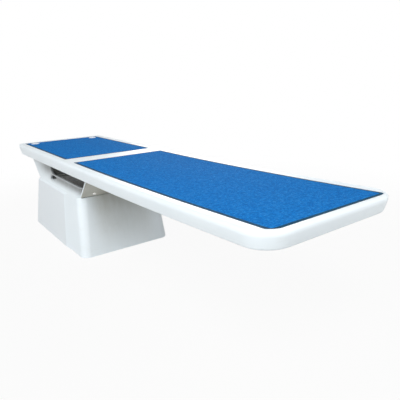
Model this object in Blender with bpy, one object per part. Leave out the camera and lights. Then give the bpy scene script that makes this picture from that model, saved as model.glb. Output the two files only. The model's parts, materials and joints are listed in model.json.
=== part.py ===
"""Pool diving platform: a moulded board with grit treads on a hollow moulded pedestal over a steel frame.

Metres, +Z up. +X runs along the board to the end over the water, +Y is its left side. The origin lies on the
deck, under the middle of the board.
"""

import math

import bpy
from mathutils import Vector

# Clearance that touching pieces keep, and how far a cutter runs past what it cuts
GAP = 0.0003
CUT_OVERRUN = 0.010

# Board
BOARD_LENGTH = 2.000
BOARD_WIDTH = 0.500
NOSE_RISE = 0.019
LEVEL_LENGTH = 0.950
DEPTH_REAR = 0.0585
DEPTH_FRONT = 0.047
REAR_CORNER_RADIUS = 0.030
FRONT_CORNER_RADIUS = 0.075
SIDE_DRAFT = 0.0075
BOTTOM_EDGE_RADIUS = 0.006
RIM_ROUND_WIDTH = 0.013
RIM_ROUND_HEIGHT = 0.016
RIM_CREST = 0.002
RIM_FALL_WIDTH = 0.006
BOARD_SKIN = 0.006
BOARD_WALL = 0.012
BASE_THICKNESS = 0.006

# Treads
SIDE_RIM = 0.033
REAR_RIM = 0.022
FRONT_RIM = 0.020
REAR_TREAD_LENGTH = 0.698
TREAD_STRIP = 0.100
TREAD_POCKET = 0.003
TREAD_THICKNESS = 0.0024
TREAD_EDGE_GAP = 0.0010
TREAD_SHARP_RADIUS = 0.005
TREAD_NOSE_RADIUS = 0.028

# Stringers
STRINGER_WIDTH = 0.036
STRINGER_FROM_BOLT = 0.067
STRINGER_END_SPACE = 0.050

# Rear mounting bolts and their caps
REAR_BOLT_FROM_END = 0.074
REAR_BOLT_FROM_ARM_SIDE = 0.023
REAR_BOLT_RADIUS = 0.005
REAR_BOLT_HEAD_RADIUS = 0.013
REAR_BOLT_HEAD_HEIGHT = 0.004
BLOCK_LENGTH = 0.070
BLOCK_WIDTH = 0.050
BLOCK_COUNTERBORE = 0.006
BLOCK_FORWARD = 0.008
CAP_RADIUS = 0.0210
CAP_STEM_RADIUS = 0.0155
CAP_RIM_HEIGHT = 0.0042
CAP_RIM_CHAMFER = 0.0012
CAP_CROWN = 0.0006
CAP_TREAD_CLEARANCE = 0.0012

# Pedestal box
FOOT_FROM_BOARD_END = 0.095
FOOT_LENGTH = 0.740
BOARD_OVERHANG = 0.0235
BOX_HEIGHT = 0.275
REAR_TAPER = 0.075
FRONT_TAPER = 0.036
SIDE_TAPER = 0.0215
BOX_RADIUS_FOOT = 0.040
BOX_RADIUS_TOP = 0.042
BOX_WALL = 0.007
BOX_EDGE_RADIUS = 0.006
FOOT_FLANGE_WIDTH = 0.050
FOOT_FLANGE_THICKNESS = 0.008
RETURN_WIDTH = 0.045
RETURN_THICKNESS = 0.007

# Proud band round the rear of the box
BAND_FROM_FRONT_TOP = 0.179
BAND_FROM_FRONT_FOOT = 0.212
BAND_BEVEL_TOP = 0.030
BAND_BEVEL_FOOT = 0.095
BAND_TOP_MARGIN = 0.003
BAND_TOP_BEVEL = 0.009
BAND_PROUD_TOP = 0.006
BAND_PROUD_FOOT = 0.006
BAND_ROOT = 0.004
BAND_SUNK = 0.002

# Rear arm
ARM_HEIGHT = 0.106
ARM_FLARE = 0.147
ARM_NARROWING = 0.010
ARM_RADIUS_TOP = 0.024
ARM_WALL_REAR = 0.007
ARM_WALL_SIDE = 0.009
ARM_SUNK = 0.0004
ARM_LEVELS = 7
ARM_FLANGE_REAR = 0.085
ARM_FLANGE_SIDE = 0.045
ARM_FLANGE_THICKNESS = 0.007
CHEEK_LENGTH = 0.306
CHEEK_SLOPE = 0.934

# Window in each side of the arm, the half-moon hole at its lower rear corner, and the hollowed sill
WINDOW_SILL = 0.053
WINDOW_CORNER_RADIUS = 0.035
HALF_MOON_FROM_CHEEK = 0.011
HALF_MOON_BELOW_SILL = 0.025
HALF_MOON_REACH = 0.036
HALF_MOON_HEIGHT = 0.018
HALF_MOON_TILT = math.radians(9)
COVE_ABOVE_BOX = 0.004
COVE_DEPTH = 0.0045
COVE_LIP = 0.005
ARM_PLATE_CLEARANCE = 0.0008

# Rubber pads between the board and what carries it
PAD_THICKNESS = 0.005
REAR_PAD_MARGIN = 0.006
REAR_PAD_LENGTH = 0.075
REAR_PAD_SIDE_MARGIN = 0.030
FRONT_PAD_LENGTH = 0.054
FRONT_PAD_SIDE_MARGIN = 0.004

# Front plate
PLATE_THICKNESS = 0.008
PLATE_BEND_RADIUS = 0.010
PLATE_LEAN = math.radians(44)
PLATE_SETBACK = 0.003
PLATE_FOOT_WIDTH = 0.036
PLATE_TOP_WIDTH = 0.066
PLATE_SIDE_INSET = 0.0105
PLATE_NOTCH_FROM_BOX_SIDE = 0.033
PLATE_NOTCH_FROM_BEND = 0.0015
PLATE_BOLT_FROM_BOX_SIDE = 0.070
PLATE_BOLT_UP_WEB = 0.018
GUSSET_THICKNESS = 0.004
GUSSET_WIDTH = 0.044
GUSSET_FOOT = 0.031
GUSSET_WEB = 0.038
GUSSET_BEND_CLEARANCE = 0.001

# Steel frame
TUBE_SIZE = 0.040
TUBE_WALL = 0.003
REAR_BEAM_FROM_BOX_END = 0.052
FRONT_BEAM_FROM_BOX_END = 0.034
LEG_FROM_BOX_SIDE = 0.053
RAIL_FROM_FOOT_SIDE = 0.0615
RAIL_WIDTH = 0.070
RAIL_THICKNESS = 0.008
RAIL_END_SPACE = 0.032
BRACKET_THICKNESS = 0.005
BRACKET_WIDTH = 0.044
BRACKET_WALL_CLEARANCE = 0.0034
BRACKET_FOOT = 0.043
BRACKET_FOOT_REAR = 0.022
BRACKET_TOP = 0.050
BRACKET_TOP_FRONT = 0.040
BRACKET_BOLT_FROM_BOX_SIDE = 0.045

# Small fasteners
SMALL_BOLT_RADIUS = 0.004
SMALL_HEAD_RADIUS = 0.0072
SMALL_HEAD_HEIGHT = 0.0055
SMALL_BOLT_OVERRUN = 0.006
BEAM_BOLT_OVERRUN = 0.008
NUT_HEIGHT = 0.0065
REAR_NUT_RADIUS = 0.0092
REAR_NUT_HEIGHT = 0.007
REAR_BOLT_OVERRUN = 0.002
SCREW_LENGTH = 0.036
ANCHOR_RADIUS = 0.006
ANCHOR_HEIGHT = 0.038
ANCHOR_FROM_FOOT_SIDE = 0.0415
ANCHOR_FROM_BEAM = 0.050
ANCHOR_NUT_RADIUS = 0.0105
ANCHOR_NUT_HEIGHT = 0.010
ANCHOR_FLANGE_RADIUS = 0.0125
ANCHOR_FLANGE_HEIGHT = 0.003

ARC_STEPS = 7
BOARD_STEPS = 14
ROUND_STEPS = 24
HEX_STEPS = 12

BOARD_REAR = -BOARD_LENGTH / 2
BOARD_FRONT = BOARD_LENGTH / 2
TREAD_REAR = BOARD_REAR + REAR_RIM
TREAD_FRONT = BOARD_FRONT - FRONT_RIM
STRIP_REAR = TREAD_REAR + REAR_TREAD_LENGTH
STRIP_FRONT = STRIP_REAR + TREAD_STRIP
TREAD_HALF = BOARD_WIDTH / 2 - SIDE_RIM
RISE_START = BOARD_REAR + LEVEL_LENGTH

FOOT_REAR = BOARD_REAR + FOOT_FROM_BOARD_END
FOOT_FRONT = FOOT_REAR + FOOT_LENGTH
FOOT_HALF = BOARD_WIDTH / 2 - BOARD_OVERHANG
BOX_TOP_REAR = FOOT_REAR + REAR_TAPER
BOX_TOP_FRONT = FOOT_FRONT - FRONT_TAPER
BOX_TOP_HALF = FOOT_HALF - SIDE_TAPER
REAR_BEAM_X = BOX_TOP_REAR + REAR_BEAM_FROM_BOX_END
FRONT_BEAM_X = BOX_TOP_FRONT - FRONT_BEAM_FROM_BOX_END
LEG_Y = BOX_TOP_HALF - LEG_FROM_BOX_SIDE
BEAM_HALF_LENGTH = LEG_Y + TUBE_SIZE / 2
RAIL_Y = FOOT_HALF - RAIL_FROM_FOOT_SIDE
ANCHOR_Y = FOOT_HALF - ANCHOR_FROM_FOOT_SIDE
BRACKET_BOLT_Y = BOX_TOP_HALF - BRACKET_BOLT_FROM_BOX_SIDE
PLATE_NOTCH_Y = BOX_TOP_HALF - PLATE_NOTCH_FROM_BOX_SIDE
PLATE_BOLT_Y = BOX_TOP_HALF - PLATE_BOLT_FROM_BOX_SIDE
REAR_BOLT_X = BOARD_REAR + REAR_BOLT_FROM_END
REAR_BOLT_Y = BOX_TOP_HALF - ARM_NARROWING - REAR_BOLT_FROM_ARM_SIDE
STRINGER_SPACING = REAR_BOLT_Y - STRINGER_FROM_BOLT


def mix(a, b, share):
    """The value a given share of the way from a to b."""
    return a + (b - a) * share


def rise(x):
    """How far the board has swept up from the level of its rear part."""
    return NOSE_RISE * (max(x - RISE_START, 0.0) / (BOARD_FRONT - RISE_START)) ** 2


def depth(x):
    """The board's depth from tread level to its flat underside."""
    return mix(DEPTH_REAR, DEPTH_FRONT, (x - BOARD_REAR) / BOARD_LENGTH)


ARM_TOP = BOX_HEIGHT + ARM_HEIGHT
TREAD_HEIGHT = ARM_TOP + PAD_THICKNESS + depth(REAR_BOLT_X)


def tread_level(x, lift=0.0):
    return TREAD_HEIGHT + rise(x) + lift


def underside(x, lift=0.0):
    return TREAD_HEIGHT + rise(x) - depth(x) + lift


SILL_Z = BOX_HEIGHT + WINDOW_SILL
PLATE_FLANGE_Z = BOX_HEIGHT + GAP + PLATE_THICKNESS / 2
PLATE_BEND_X = BOX_TOP_FRONT - PLATE_SETBACK
PLATE_REACH = math.tan(PLATE_LEAN)
PLATE_TOP = underside(PLATE_BEND_X + ARM_HEIGHT * PLATE_REACH) - PAD_THICKNESS
PLATE_TOP_Z = PLATE_TOP - PLATE_THICKNESS / 2
PLATE_TOP_X = PLATE_BEND_X + (PLATE_TOP_Z - PLATE_FLANGE_Z) * PLATE_REACH
PLATE_HALF = BOX_TOP_HALF - PLATE_SIDE_INSET
SCREW_X = PLATE_TOP_X - PLATE_TOP_WIDTH / 2


def clear_scene():
    for item in list(bpy.data.objects):
        bpy.data.objects.remove(item, do_unlink=True)


def material(name, color, roughness, metallic=0.0):
    made = bpy.data.materials.new(name)
    made.use_nodes = True
    shader = made.node_tree.nodes["Principled BSDF"]
    shader.inputs["Base Color"].default_value = (*color, 1.0)
    shader.inputs["Roughness"].default_value = roughness
    shader.inputs["Metallic"].default_value = metallic
    made.diffuse_color = (*color, 1.0)
    return made


def add_object(name, vertices, faces, finish=None):
    """An object of the given mesh, smooth where its faces meet at a shallow angle."""
    mesh = bpy.data.meshes.new(name)
    mesh.from_pydata(vertices, [], faces)
    mesh.update()
    made = bpy.data.objects.new(name, mesh)
    bpy.context.scene.collection.objects.link(made)
    if finish is not None:
        mesh.materials.append(finish)
    mesh.shade_smooth()
    mesh.set_sharp_from_angle(angle=math.radians(35))
    return made


def combine(item, other, operation):
    """Adds a Boolean modifier that cuts other from item, or unites them."""
    other.hide_render = True
    other.display_type = "WIRE"
    modifier = item.modifiers.new(other.name, "BOOLEAN")
    modifier.operation = operation
    modifier.solver = "EXACT"
    modifier.object = other


def cut(item, cutter):
    combine(item, cutter, "DIFFERENCE")


def plan_loop(rear, front, half, rear_radius, front_radius, steps=1, arc_steps=ARC_STEPS):
    """A rounded rectangle seen from above, anticlockwise from its right rear corner, alike on both sides."""
    right = []
    for k in range(arc_steps + 1):
        turn = math.pi / 2 * k / arc_steps
        right.append((rear + rear_radius * (1 - math.cos(turn)), -half + rear_radius * (1 - math.sin(turn))))
    start = rear + rear_radius
    end = front - front_radius
    right += [(mix(start, end, k / steps), -half) for k in range(1, steps)]
    for k in range(arc_steps + 1):
        turn = math.pi / 2 * k / arc_steps
        right.append((end + front_radius * math.sin(turn), -half + front_radius * (1 - math.cos(turn))))
    return right + [(x, -y) for x, y in reversed(right)]


def sides_of(loops, count, closed):
    """Quads between neighbouring loops, and from the last to the first where the stack closes on itself."""
    faces = []
    total = len(loops)
    for k in range(total if closed else total - 1):
        low = k * count
        high = (k + 1) % total * count
        for i in range(count):
            following = (i + 1) % count
            faces.append((low + i, low + following, high + following, high + i))
    return faces


def stack(name, loops, finish=None):
    """A solid from loops of plan_loop's kind, lowest first, with its two ends closed by strips across."""
    count = len(loops[0])
    faces = sides_of(loops, count, closed=False)
    top = (len(loops) - 1) * count
    for i in range(count // 2 - 1):
        faces.append((i + 1, i, count - 1 - i, count - 2 - i))
        faces.append((top + i, top + i + 1, top + count - 2 - i, top + count - 1 - i))
    return add_object(name, [point for loop in loops for point in loop], faces, finish)


def ring(name, loops, finish=None):
    """A hollow solid whose section runs up the outside, over the top, down the inside and back."""
    faces = sides_of(loops, len(loops[0]), closed=True)
    return add_object(name, [point for loop in loops for point in loop], faces, finish)


def prism_y(name, profile, half_width, centre_y=0.0, finish=None):
    """A solid of a profile of (x, z) points, anticlockwise seen from -Y, extruded across the board."""
    count = len(profile)
    vertices = [(x, centre_y - half_width, z) for x, z in profile]
    vertices += [(x, centre_y + half_width, z) for x, z in profile]
    faces = [tuple(range(count)), tuple(reversed(range(count, 2 * count)))]
    for i in range(count):
        following = (i + 1) % count
        faces.append((following, i, count + i, count + following))
    return add_object(name, vertices, faces, finish)


def turned(name, profile, steps=ROUND_STEPS, finish=None):
    """A solid turned about Z from (radius, z, hexagonal) rows, lowest first, closed at both ends."""
    loops = [turned_loop(radius, z, hexagonal, steps) for radius, z, hexagonal in profile]
    count = steps
    faces = sides_of(loops, count, closed=False)
    faces.append(tuple(reversed(range(count))))
    faces.append(tuple(range((len(loops) - 1) * count, len(loops) * count)))
    return add_object(name, [point for loop in loops for point in loop], faces, finish)


def turned_ring(name, profile, steps=ROUND_STEPS, finish=None):
    """A turned solid with a hole: rows up the outside, then down the inside."""
    loops = [turned_loop(radius, z, hexagonal, steps) for radius, z, hexagonal in profile]
    return add_object(
        name, [point for loop in loops for point in loop], sides_of(loops, steps, closed=True), finish
    )


def turned_loop(radius, z, hexagonal, steps):
    """Points round Z on a circle, or on the hexagon whose corners lie on it."""
    points = []
    for k in range(steps):
        turn = 2 * math.pi * k / steps
        reach = radius
        if hexagonal:
            from_flat = turn % (math.pi / 3) - math.pi / 6
            reach = radius * math.cos(math.pi / 6) / math.cos(from_flat)
        points.append((reach * math.cos(turn), reach * math.sin(turn), z))
    return points


def hole_cutter(name, x, y, radius, low, high, steps=HEX_STEPS):
    """A round cutter that runs past the heights low and high."""
    rows = [(radius, low - CUT_OVERRUN, False), (radius, high + CUT_OVERRUN, False)]
    cutter = turned(name, rows, steps)
    cutter.location = (x, y, 0)
    return cutter


def bolt(name, location, shank_radius, length, head_radius, head_height, finish, hexagonal=True, tilt=0.0):
    """A bolt with its head's underside at the location, its shank along -Z before it is tilted about Y."""
    chamfer = head_height * 0.18
    rows = [
        (shank_radius * 0.8, -length, False),
        (shank_radius, -length + shank_radius * 0.3, False),
        (shank_radius, 0.0, False),
        (head_radius, 0.0, hexagonal),
        (head_radius, head_height - chamfer, hexagonal),
        (head_radius * 0.82, head_height, False),
    ]
    made = turned(name, rows, HEX_STEPS, finish)
    made.location = location
    made.rotation_euler = (0, tilt, 0)
    return made


def nut(name, location, hole_radius, radius, height, finish, flange=None, tilt=0.0):
    """A nut standing on its location, with a round flange below where a (radius, height) is given."""
    rows = []
    low = 0.0
    if flange:
        rows += [(flange[0], 0.0, False), (flange[0], flange[1] * 0.5, False)]
        low = flange[1]
    rows += [(radius, low, True), (radius, height * 0.88, True), (radius * 0.84, height, False)]
    rows += [(hole_radius, height, False), (hole_radius, 0.0, False)]
    made = turned_ring(name, rows, HEX_STEPS, finish)
    made.location = location
    made.rotation_euler = (0, tilt, 0)
    return made


def rounded_corner(before, corner, after, radius, steps):
    """The arc that rounds off a corner between its two neighbours, as points in the same order."""
    corner = Vector(corner)
    back = (Vector(before) - corner).normalized()
    ahead = (Vector(after) - corner).normalized()
    half_angle = back.angle(ahead) / 2
    reach = radius / math.tan(half_angle)
    centre = corner + (back + ahead).normalized() * (radius / math.sin(half_angle))
    first = (corner + back * reach - centre).normalized()
    last = (corner + ahead * reach - centre).normalized()
    return [centre + first.slerp(last, k / steps) * radius for k in range(steps + 1)]


def sheet_outline(corners, thickness, bend_radius, steps=4):
    """The outline of a folded sheet whose middle line runs through the corners, rounded at each bend."""
    line = [Vector(corners[0])]
    for before, corner, after in zip(corners, corners[1:], corners[2:]):
        line += rounded_corner(before, corner, after, bend_radius, steps)
    line.append(Vector(corners[-1]))
    left = []
    right = []
    for k, point in enumerate(line):
        before = line[max(k - 1, 0)]
        after = line[min(k + 1, len(line) - 1)]
        along = (after - before).normalized()
        across = Vector((-along.y, along.x)) * (thickness / 2)
        left.append(point + across)
        right.append(point - across)
    outline = [(p.x, p.y) for p in right + left[::-1]]
    area = sum(a[0] * b[1] - b[0] * a[1] for a, b in zip(outline, outline[1:] + outline[:1]))
    return outline if area > 0 else outline[::-1]


def bent_bar(name, rear, front, low_y, high_y, bottom, top, finish, steps=BOARD_STEPS):
    """A bar along X whose bottom and top heights are functions of x."""
    vertices = []
    for k in range(steps + 1):
        x = mix(rear, front, k / steps)
        vertices += [(x, low_y, bottom(x)), (x, high_y, bottom(x)), (x, high_y, top(x)), (x, low_y, top(x))]
    faces = [(3, 2, 1, 0)]
    for k in range(steps):
        here = 4 * k
        for i in range(4):
            following = (i + 1) % 4
            faces.append((here + i, here + following, here + 4 + following, here + 4 + i))
    end = 4 * steps
    faces.append((end, end + 1, end + 2, end + 3))
    return add_object(name, vertices, faces, finish)


def board_loop(inset, height_at):
    """The board's outline, drawn in by inset, at the height that height_at gives for each x."""
    plan = plan_loop(
        BOARD_REAR + inset,
        BOARD_FRONT - inset,
        BOARD_WIDTH / 2 - inset,
        max(REAR_CORNER_RADIUS - inset, 0.004),
        max(FRONT_CORNER_RADIUS - inset, 0.004),
        BOARD_STEPS,
    )
    return [(x, y, height_at(x)) for x, y in plan]


def board_section():
    """The rim's section as (inset, height function) rows, from the underside round to the tread level."""
    rows = []
    for k in range(4):
        turn = math.pi / 2 * k / 3
        inset = SIDE_DRAFT + BOTTOM_EDGE_RADIUS * (1 - math.sin(turn))
        lift = BOTTOM_EDGE_RADIUS * (1 - math.cos(turn))
        rows.append((inset, lambda x, lift=lift: underside(x, lift)))
    for k in range(7):
        turn = math.pi / 2 * k / 6
        inset = RIM_ROUND_WIDTH * (1 - math.cos(turn))
        lift = RIM_CREST - RIM_ROUND_HEIGHT * (1 - math.sin(turn))
        rows.append((inset, lambda x, lift=lift: tread_level(x, lift)))
    rows.append((RIM_ROUND_WIDTH + RIM_FALL_WIDTH, lambda x: tread_level(x)))
    return rows


def slab(name, rear, front, half, rear_radius, front_radius, bottom, top, finish=None):
    """A sheet with rounded corners that follows the board's sweep."""
    plan = plan_loop(rear, front, half, rear_radius, front_radius, BOARD_STEPS)
    return stack(name, [[(x, y, bottom(x)) for x, y in plan], [(x, y, top(x)) for x, y in plan]], finish)


def build_board_shell(white):
    shell = stack("board_shell", [board_loop(inset, height) for inset, height in board_section()], white)
    cavity_inset = SIDE_DRAFT + BOARD_WALL
    cavity = stack(
        "cut_board_cavity",
        [
            board_loop(cavity_inset, lambda x: underside(x, -CUT_OVERRUN)),
            board_loop(cavity_inset, lambda x: tread_level(x, -TREAD_POCKET - BOARD_SKIN)),
        ],
    )
    cut(shell, cavity)
    for name, rear, front, rear_radius, front_radius in (
        ("cut_rear_pocket", TREAD_REAR, STRIP_REAR, TREAD_SHARP_RADIUS, TREAD_SHARP_RADIUS),
        ("cut_front_pocket", STRIP_FRONT, TREAD_FRONT, TREAD_SHARP_RADIUS, TREAD_NOSE_RADIUS),
    ):
        pocket = slab(
            name,
            rear,
            front,
            TREAD_HALF,
            rear_radius,
            front_radius,
            lambda x: tread_level(x, -TREAD_POCKET),
            lambda x: tread_level(x, CUT_OVERRUN),
        )
        cut(shell, pocket)
    for side, sign in (("right", -1), ("left", 1)):
        hole = hole_cutter(
            "cut_cap_hole_" + side,
            REAR_BOLT_X,
            sign * REAR_BOLT_Y,
            CAP_STEM_RADIUS + GAP,
            tread_level(REAR_BOLT_X, -TREAD_POCKET - BOARD_SKIN),
            tread_level(REAR_BOLT_X),
            ROUND_STEPS,
        )
        cut(shell, hole)


def build_treads(grit):
    def bottom(x):
        return tread_level(x, -TREAD_POCKET + GAP)

    def top(x):
        return bottom(x) + TREAD_THICKNESS

    edge = TREAD_EDGE_GAP
    sharp = TREAD_SHARP_RADIUS - edge
    rear = slab(
        "tread_rear", TREAD_REAR + edge, STRIP_REAR - edge, TREAD_HALF - edge, sharp, sharp, bottom, top, grit
    )
    slab(
        "tread_front",
        STRIP_FRONT + edge,
        TREAD_FRONT - edge,
        TREAD_HALF - edge,
        sharp,
        TREAD_NOSE_RADIUS - edge,
        bottom,
        top,
        grit,
    )
    for side, sign in (("right", -1), ("left", 1)):
        hole = hole_cutter(
            "cut_tread_hole_" + side,
            REAR_BOLT_X,
            sign * REAR_BOLT_Y,
            CAP_RADIUS + CAP_TREAD_CLEARANCE,
            bottom(REAR_BOLT_X),
            top(REAR_BOLT_X),
            ROUND_STEPS,
        )
        cut(rear, hole)


def board_inside_top(x):
    """Where the pieces inside the board end, just under its skin."""
    return tread_level(x, -TREAD_POCKET - BOARD_SKIN - GAP)


def build_board_inside(laminate, timber):
    """The closing panel, the stringers and the blocks under the rear bolts."""

    def bottom(x):
        return underside(x, BASE_THICKNESS + GAP)

    inset = SIDE_DRAFT + BOARD_WALL + GAP
    base = stack(
        "board_base",
        [
            board_loop(inset, underside),
            board_loop(inset, lambda x: underside(x, BASE_THICKNESS)),
        ],
        laminate,
    )
    for side, y in three_places(STRINGER_SPACING):
        stringer = bent_bar(
            "stringer_" + side,
            BOARD_REAR + STRINGER_END_SPACE,
            BOARD_FRONT - STRINGER_END_SPACE,
            y - STRINGER_WIDTH / 2,
            y + STRINGER_WIDTH / 2,
            bottom,
            board_inside_top,
            timber,
        )
        hole = hole_cutter(
            "cut_screw_hole_" + side,
            SCREW_X,
            y,
            SMALL_BOLT_RADIUS + GAP,
            underside(SCREW_X),
            PLATE_TOP - PLATE_THICKNESS + SCREW_LENGTH + GAP - CUT_OVERRUN,
        )
        cut(stringer, hole)
        cut(base, hole)
    for side, sign in (("right", -1), ("left", 1)):
        y = sign * REAR_BOLT_Y
        block = bent_bar(
            "bolt_block_" + side,
            REAR_BOLT_X + BLOCK_FORWARD - BLOCK_LENGTH / 2,
            REAR_BOLT_X + BLOCK_FORWARD + BLOCK_LENGTH / 2,
            y - BLOCK_WIDTH / 2,
            y + BLOCK_WIDTH / 2,
            bottom,
            board_inside_top,
            timber,
            steps=2,
        )
        x = REAR_BOLT_X
        high = tread_level(x)
        seat = board_inside_top(x) - BLOCK_COUNTERBORE + CUT_OVERRUN
        bore = hole_cutter("cut_bore_" + side, x, y, REAR_BOLT_RADIUS + GAP, underside(x), high, ROUND_STEPS)
        head_bore = hole_cutter("cut_head_" + side, x, y, CAP_STEM_RADIUS, seat, high, ROUND_STEPS)
        cut(block, bore)
        cut(block, head_bore)
        cut(base, bore)


def build_caps(white):
    """Round caps that plug the holes over the rear bolts."""
    base = -TREAD_POCKET + 2 * GAP
    stem = -TREAD_POCKET - BOARD_SKIN
    rows = [
        (CAP_STEM_RADIUS * 0.96, stem, False),
        (CAP_STEM_RADIUS - GAP, stem + 0.001, False),
        (CAP_STEM_RADIUS - GAP, base, False),
        (CAP_RADIUS, base, False),
        (CAP_RADIUS, base + CAP_RIM_HEIGHT - CAP_RIM_CHAMFER, False),
        (CAP_RADIUS - CAP_RIM_CHAMFER, base + CAP_RIM_HEIGHT, False),
        (CAP_RADIUS * 0.6, base + CAP_RIM_HEIGHT + CAP_CROWN, False),
    ]
    for side, sign in (("right", -1), ("left", 1)):
        cap = turned("cap_" + side, rows, ROUND_STEPS, white)
        cap.location = (REAR_BOLT_X, sign * REAR_BOLT_Y, tread_level(REAR_BOLT_X))


def box_loop(z, inset):
    """The pedestal box's outline at a height, drawn in by inset."""
    share = z / BOX_HEIGHT
    radius = max(mix(BOX_RADIUS_FOOT, BOX_RADIUS_TOP, share) - inset, 0.004)
    plan = plan_loop(
        mix(FOOT_REAR, BOX_TOP_REAR, share) + inset,
        mix(FOOT_FRONT, BOX_TOP_FRONT, share) - inset,
        mix(FOOT_HALF, BOX_TOP_HALF, share) - inset,
        radius,
        radius,
    )
    return [(x, y, z) for x, y in plan]


def arm_half(z):
    """Half the arm's width over its sides, which lean in a little towards the board."""
    return BOX_TOP_HALF - ARM_SUNK - ARM_NARROWING * max(z - BOX_HEIGHT, 0.0) / ARM_HEIGHT


def arm_loop(z, rear_inset, side_inset):
    """The arm's outline at a height. Its rear flares back, and its front leans forward with the plate."""
    up = max(z - BOX_HEIGHT, 0.0)
    share = up / ARM_HEIGHT
    plan = plan_loop(
        BOX_TOP_REAR + ARM_SUNK - ARM_FLARE * share + rear_inset,
        BOX_TOP_FRONT - ARM_SUNK + up * PLATE_REACH - side_inset,
        arm_half(z) - side_inset,
        max(mix(BOX_RADIUS_TOP, ARM_RADIUS_TOP, share) - rear_inset, 0.006),
        max(BOX_RADIUS_TOP - side_inset, 0.006),
    )
    return [(x, y, z) for x, y in plan]


def cheek_front(z):
    """Where the arm's side walls end, over the window."""
    return BOX_TOP_REAR + CHEEK_LENGTH - CHEEK_SLOPE * (z - BOX_HEIGHT)


def behind_plate(z):
    """Where the arm's side walls end, under the window: just behind the front plate's web."""
    setback = (PLATE_THICKNESS / 2 + ARM_PLATE_CLEARANCE) / math.cos(PLATE_LEAN)
    return PLATE_BEND_X + (z - PLATE_FLANGE_Z) * PLATE_REACH - setback


def build_arm():
    """The rear arm: a leaning back wall under a flat top flange, and side walls with a window in each."""
    start = BOX_HEIGHT - BOX_EDGE_RADIUS - 2 * GAP
    heights = [start, BOX_HEIGHT]
    heights += [mix(BOX_HEIGHT, ARM_TOP, k / ARM_LEVELS) for k in range(1, ARM_LEVELS + 1)]
    loops = [arm_loop(z, 0.0, 0.0) for z in heights]
    flange_low = ARM_TOP - ARM_FLANGE_THICKNESS
    loops.append(arm_loop(ARM_TOP, ARM_FLANGE_REAR, ARM_FLANGE_SIDE))
    loops.append([(x, y, flange_low) for x, y, z in loops[-1]])
    for z in [flange_low] + heights[-3::-1]:
        loops.append(arm_loop(z, ARM_WALL_REAR, ARM_WALL_SIDE))
    arm = ring("arm", loops)
    wide = BOX_TOP_HALF + CUT_OVERRUN
    far = PLATE_TOP_X + ARM_FLARE
    high = ARM_TOP + CUT_OVERRUN
    cheek_top = (cheek_front(high), high)
    cheek_foot = (cheek_front(SILL_Z), SILL_Z)
    sill_end = (far, SILL_Z)
    corner = rounded_corner(cheek_top, cheek_foot, sill_end, WINDOW_CORNER_RADIUS, ARC_STEPS)
    window = [cheek_top, *((p.x, p.y) for p in corner), sill_end, (far, high)]
    cut(arm, prism_y("cut_window", window, wide))
    low = start - CUT_OVERRUN
    over = SILL_Z + CUT_OVERRUN
    front = [(behind_plate(low), low), (far, low), (far, over), (behind_plate(over), over)]
    cut(arm, prism_y("cut_arm_front", front, wide))
    hole_x = cheek_front(SILL_Z) + HALF_MOON_FROM_CHEEK
    for side, sign in (("right", -1), ("left", 1)):
        cut(arm, cove_cutter("cut_cove_" + side, sign, hole_x, far))
    cut(arm, prism_y("cut_half_moon", half_moon(hole_x, SILL_Z - HALF_MOON_BELOW_SILL), wide))
    return arm


def half_moon(centre_x, centre_z):
    """A half ellipse over a straight edge that rises a little towards the front."""
    tilt_cos = math.cos(HALF_MOON_TILT)
    tilt_sin = math.sin(HALF_MOON_TILT)
    points = []
    for k in range(ROUND_STEPS // 2 + 1):
        turn = 2 * math.pi * k / ROUND_STEPS
        along = HALF_MOON_REACH * math.cos(turn)
        up = HALF_MOON_HEIGHT * math.sin(turn)
        x = centre_x + along * tilt_cos - up * tilt_sin
        z = centre_z + along * tilt_sin + up * tilt_cos
        points.append((x, z))
    return points


def cove_cutter(name, sign, rear, front):
    """A cutter along X that hollows the outside of the wall between the box top and the lip of the sill."""
    low = BOX_HEIGHT + COVE_ABOVE_BOX
    high = SILL_Z - COVE_LIP
    profile = [(arm_half(low) + CUT_OVERRUN, low)]
    for k in range(ARC_STEPS + 1):
        share = k / ARC_STEPS
        z = mix(low, high, share)
        profile.append((arm_half(z) + GAP - (COVE_DEPTH + GAP) * (1 - (2 * share - 1) ** 2), z))
    profile.append((arm_half(high) + CUT_OVERRUN, high))
    count = len(profile)
    vertices = [(x, sign * y, z) for x in (rear, front) for y, z in profile]
    ends = [tuple(range(count)), tuple(reversed(range(count, 2 * count)))]
    faces = ends + [((i + 1) % count, i, count + i, count + (i + 1) % count) for i in range(count)]
    if sign < 0:
        faces = [tuple(reversed(face)) for face in faces]
    return add_object(name, vertices, faces)


def band_loop(z, out_at_z, out_beyond):
    """An outline at a height, out_at_z off the box round its rear part and out_beyond off it in front."""
    share = z / BOX_HEIGHT
    half = mix(FOOT_HALF, BOX_TOP_HALF, share)
    corner = mix(BOX_RADIUS_FOOT, BOX_RADIUS_TOP, share)
    rear = mix(FOOT_REAR, BOX_TOP_REAR, share)
    front = mix(FOOT_FRONT, BOX_TOP_FRONT, share)
    step = front - mix(BAND_FROM_FRONT_FOOT, BAND_FROM_FRONT_TOP, share)
    bevel = mix(BAND_BEVEL_FOOT, BAND_BEVEL_TOP, share)
    right = []
    for k in range(ARC_STEPS + 1):
        turn = math.pi / 2 * k / ARC_STEPS
        reach = corner + out_at_z
        right.append((rear + corner - reach * math.cos(turn), -half + corner - reach * math.sin(turn)))
    right.append((step, -half - out_at_z))
    right.append((step + bevel, -half - out_beyond))
    for k in range(ARC_STEPS + 1):
        turn = math.pi / 2 * k / ARC_STEPS
        reach = corner + out_beyond
        right.append((front - corner + reach * math.sin(turn), -half + corner - reach * math.cos(turn)))
    return [(x, y, z) for x, y in right] + [(x, -y, z) for x, y in reversed(right)]


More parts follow.
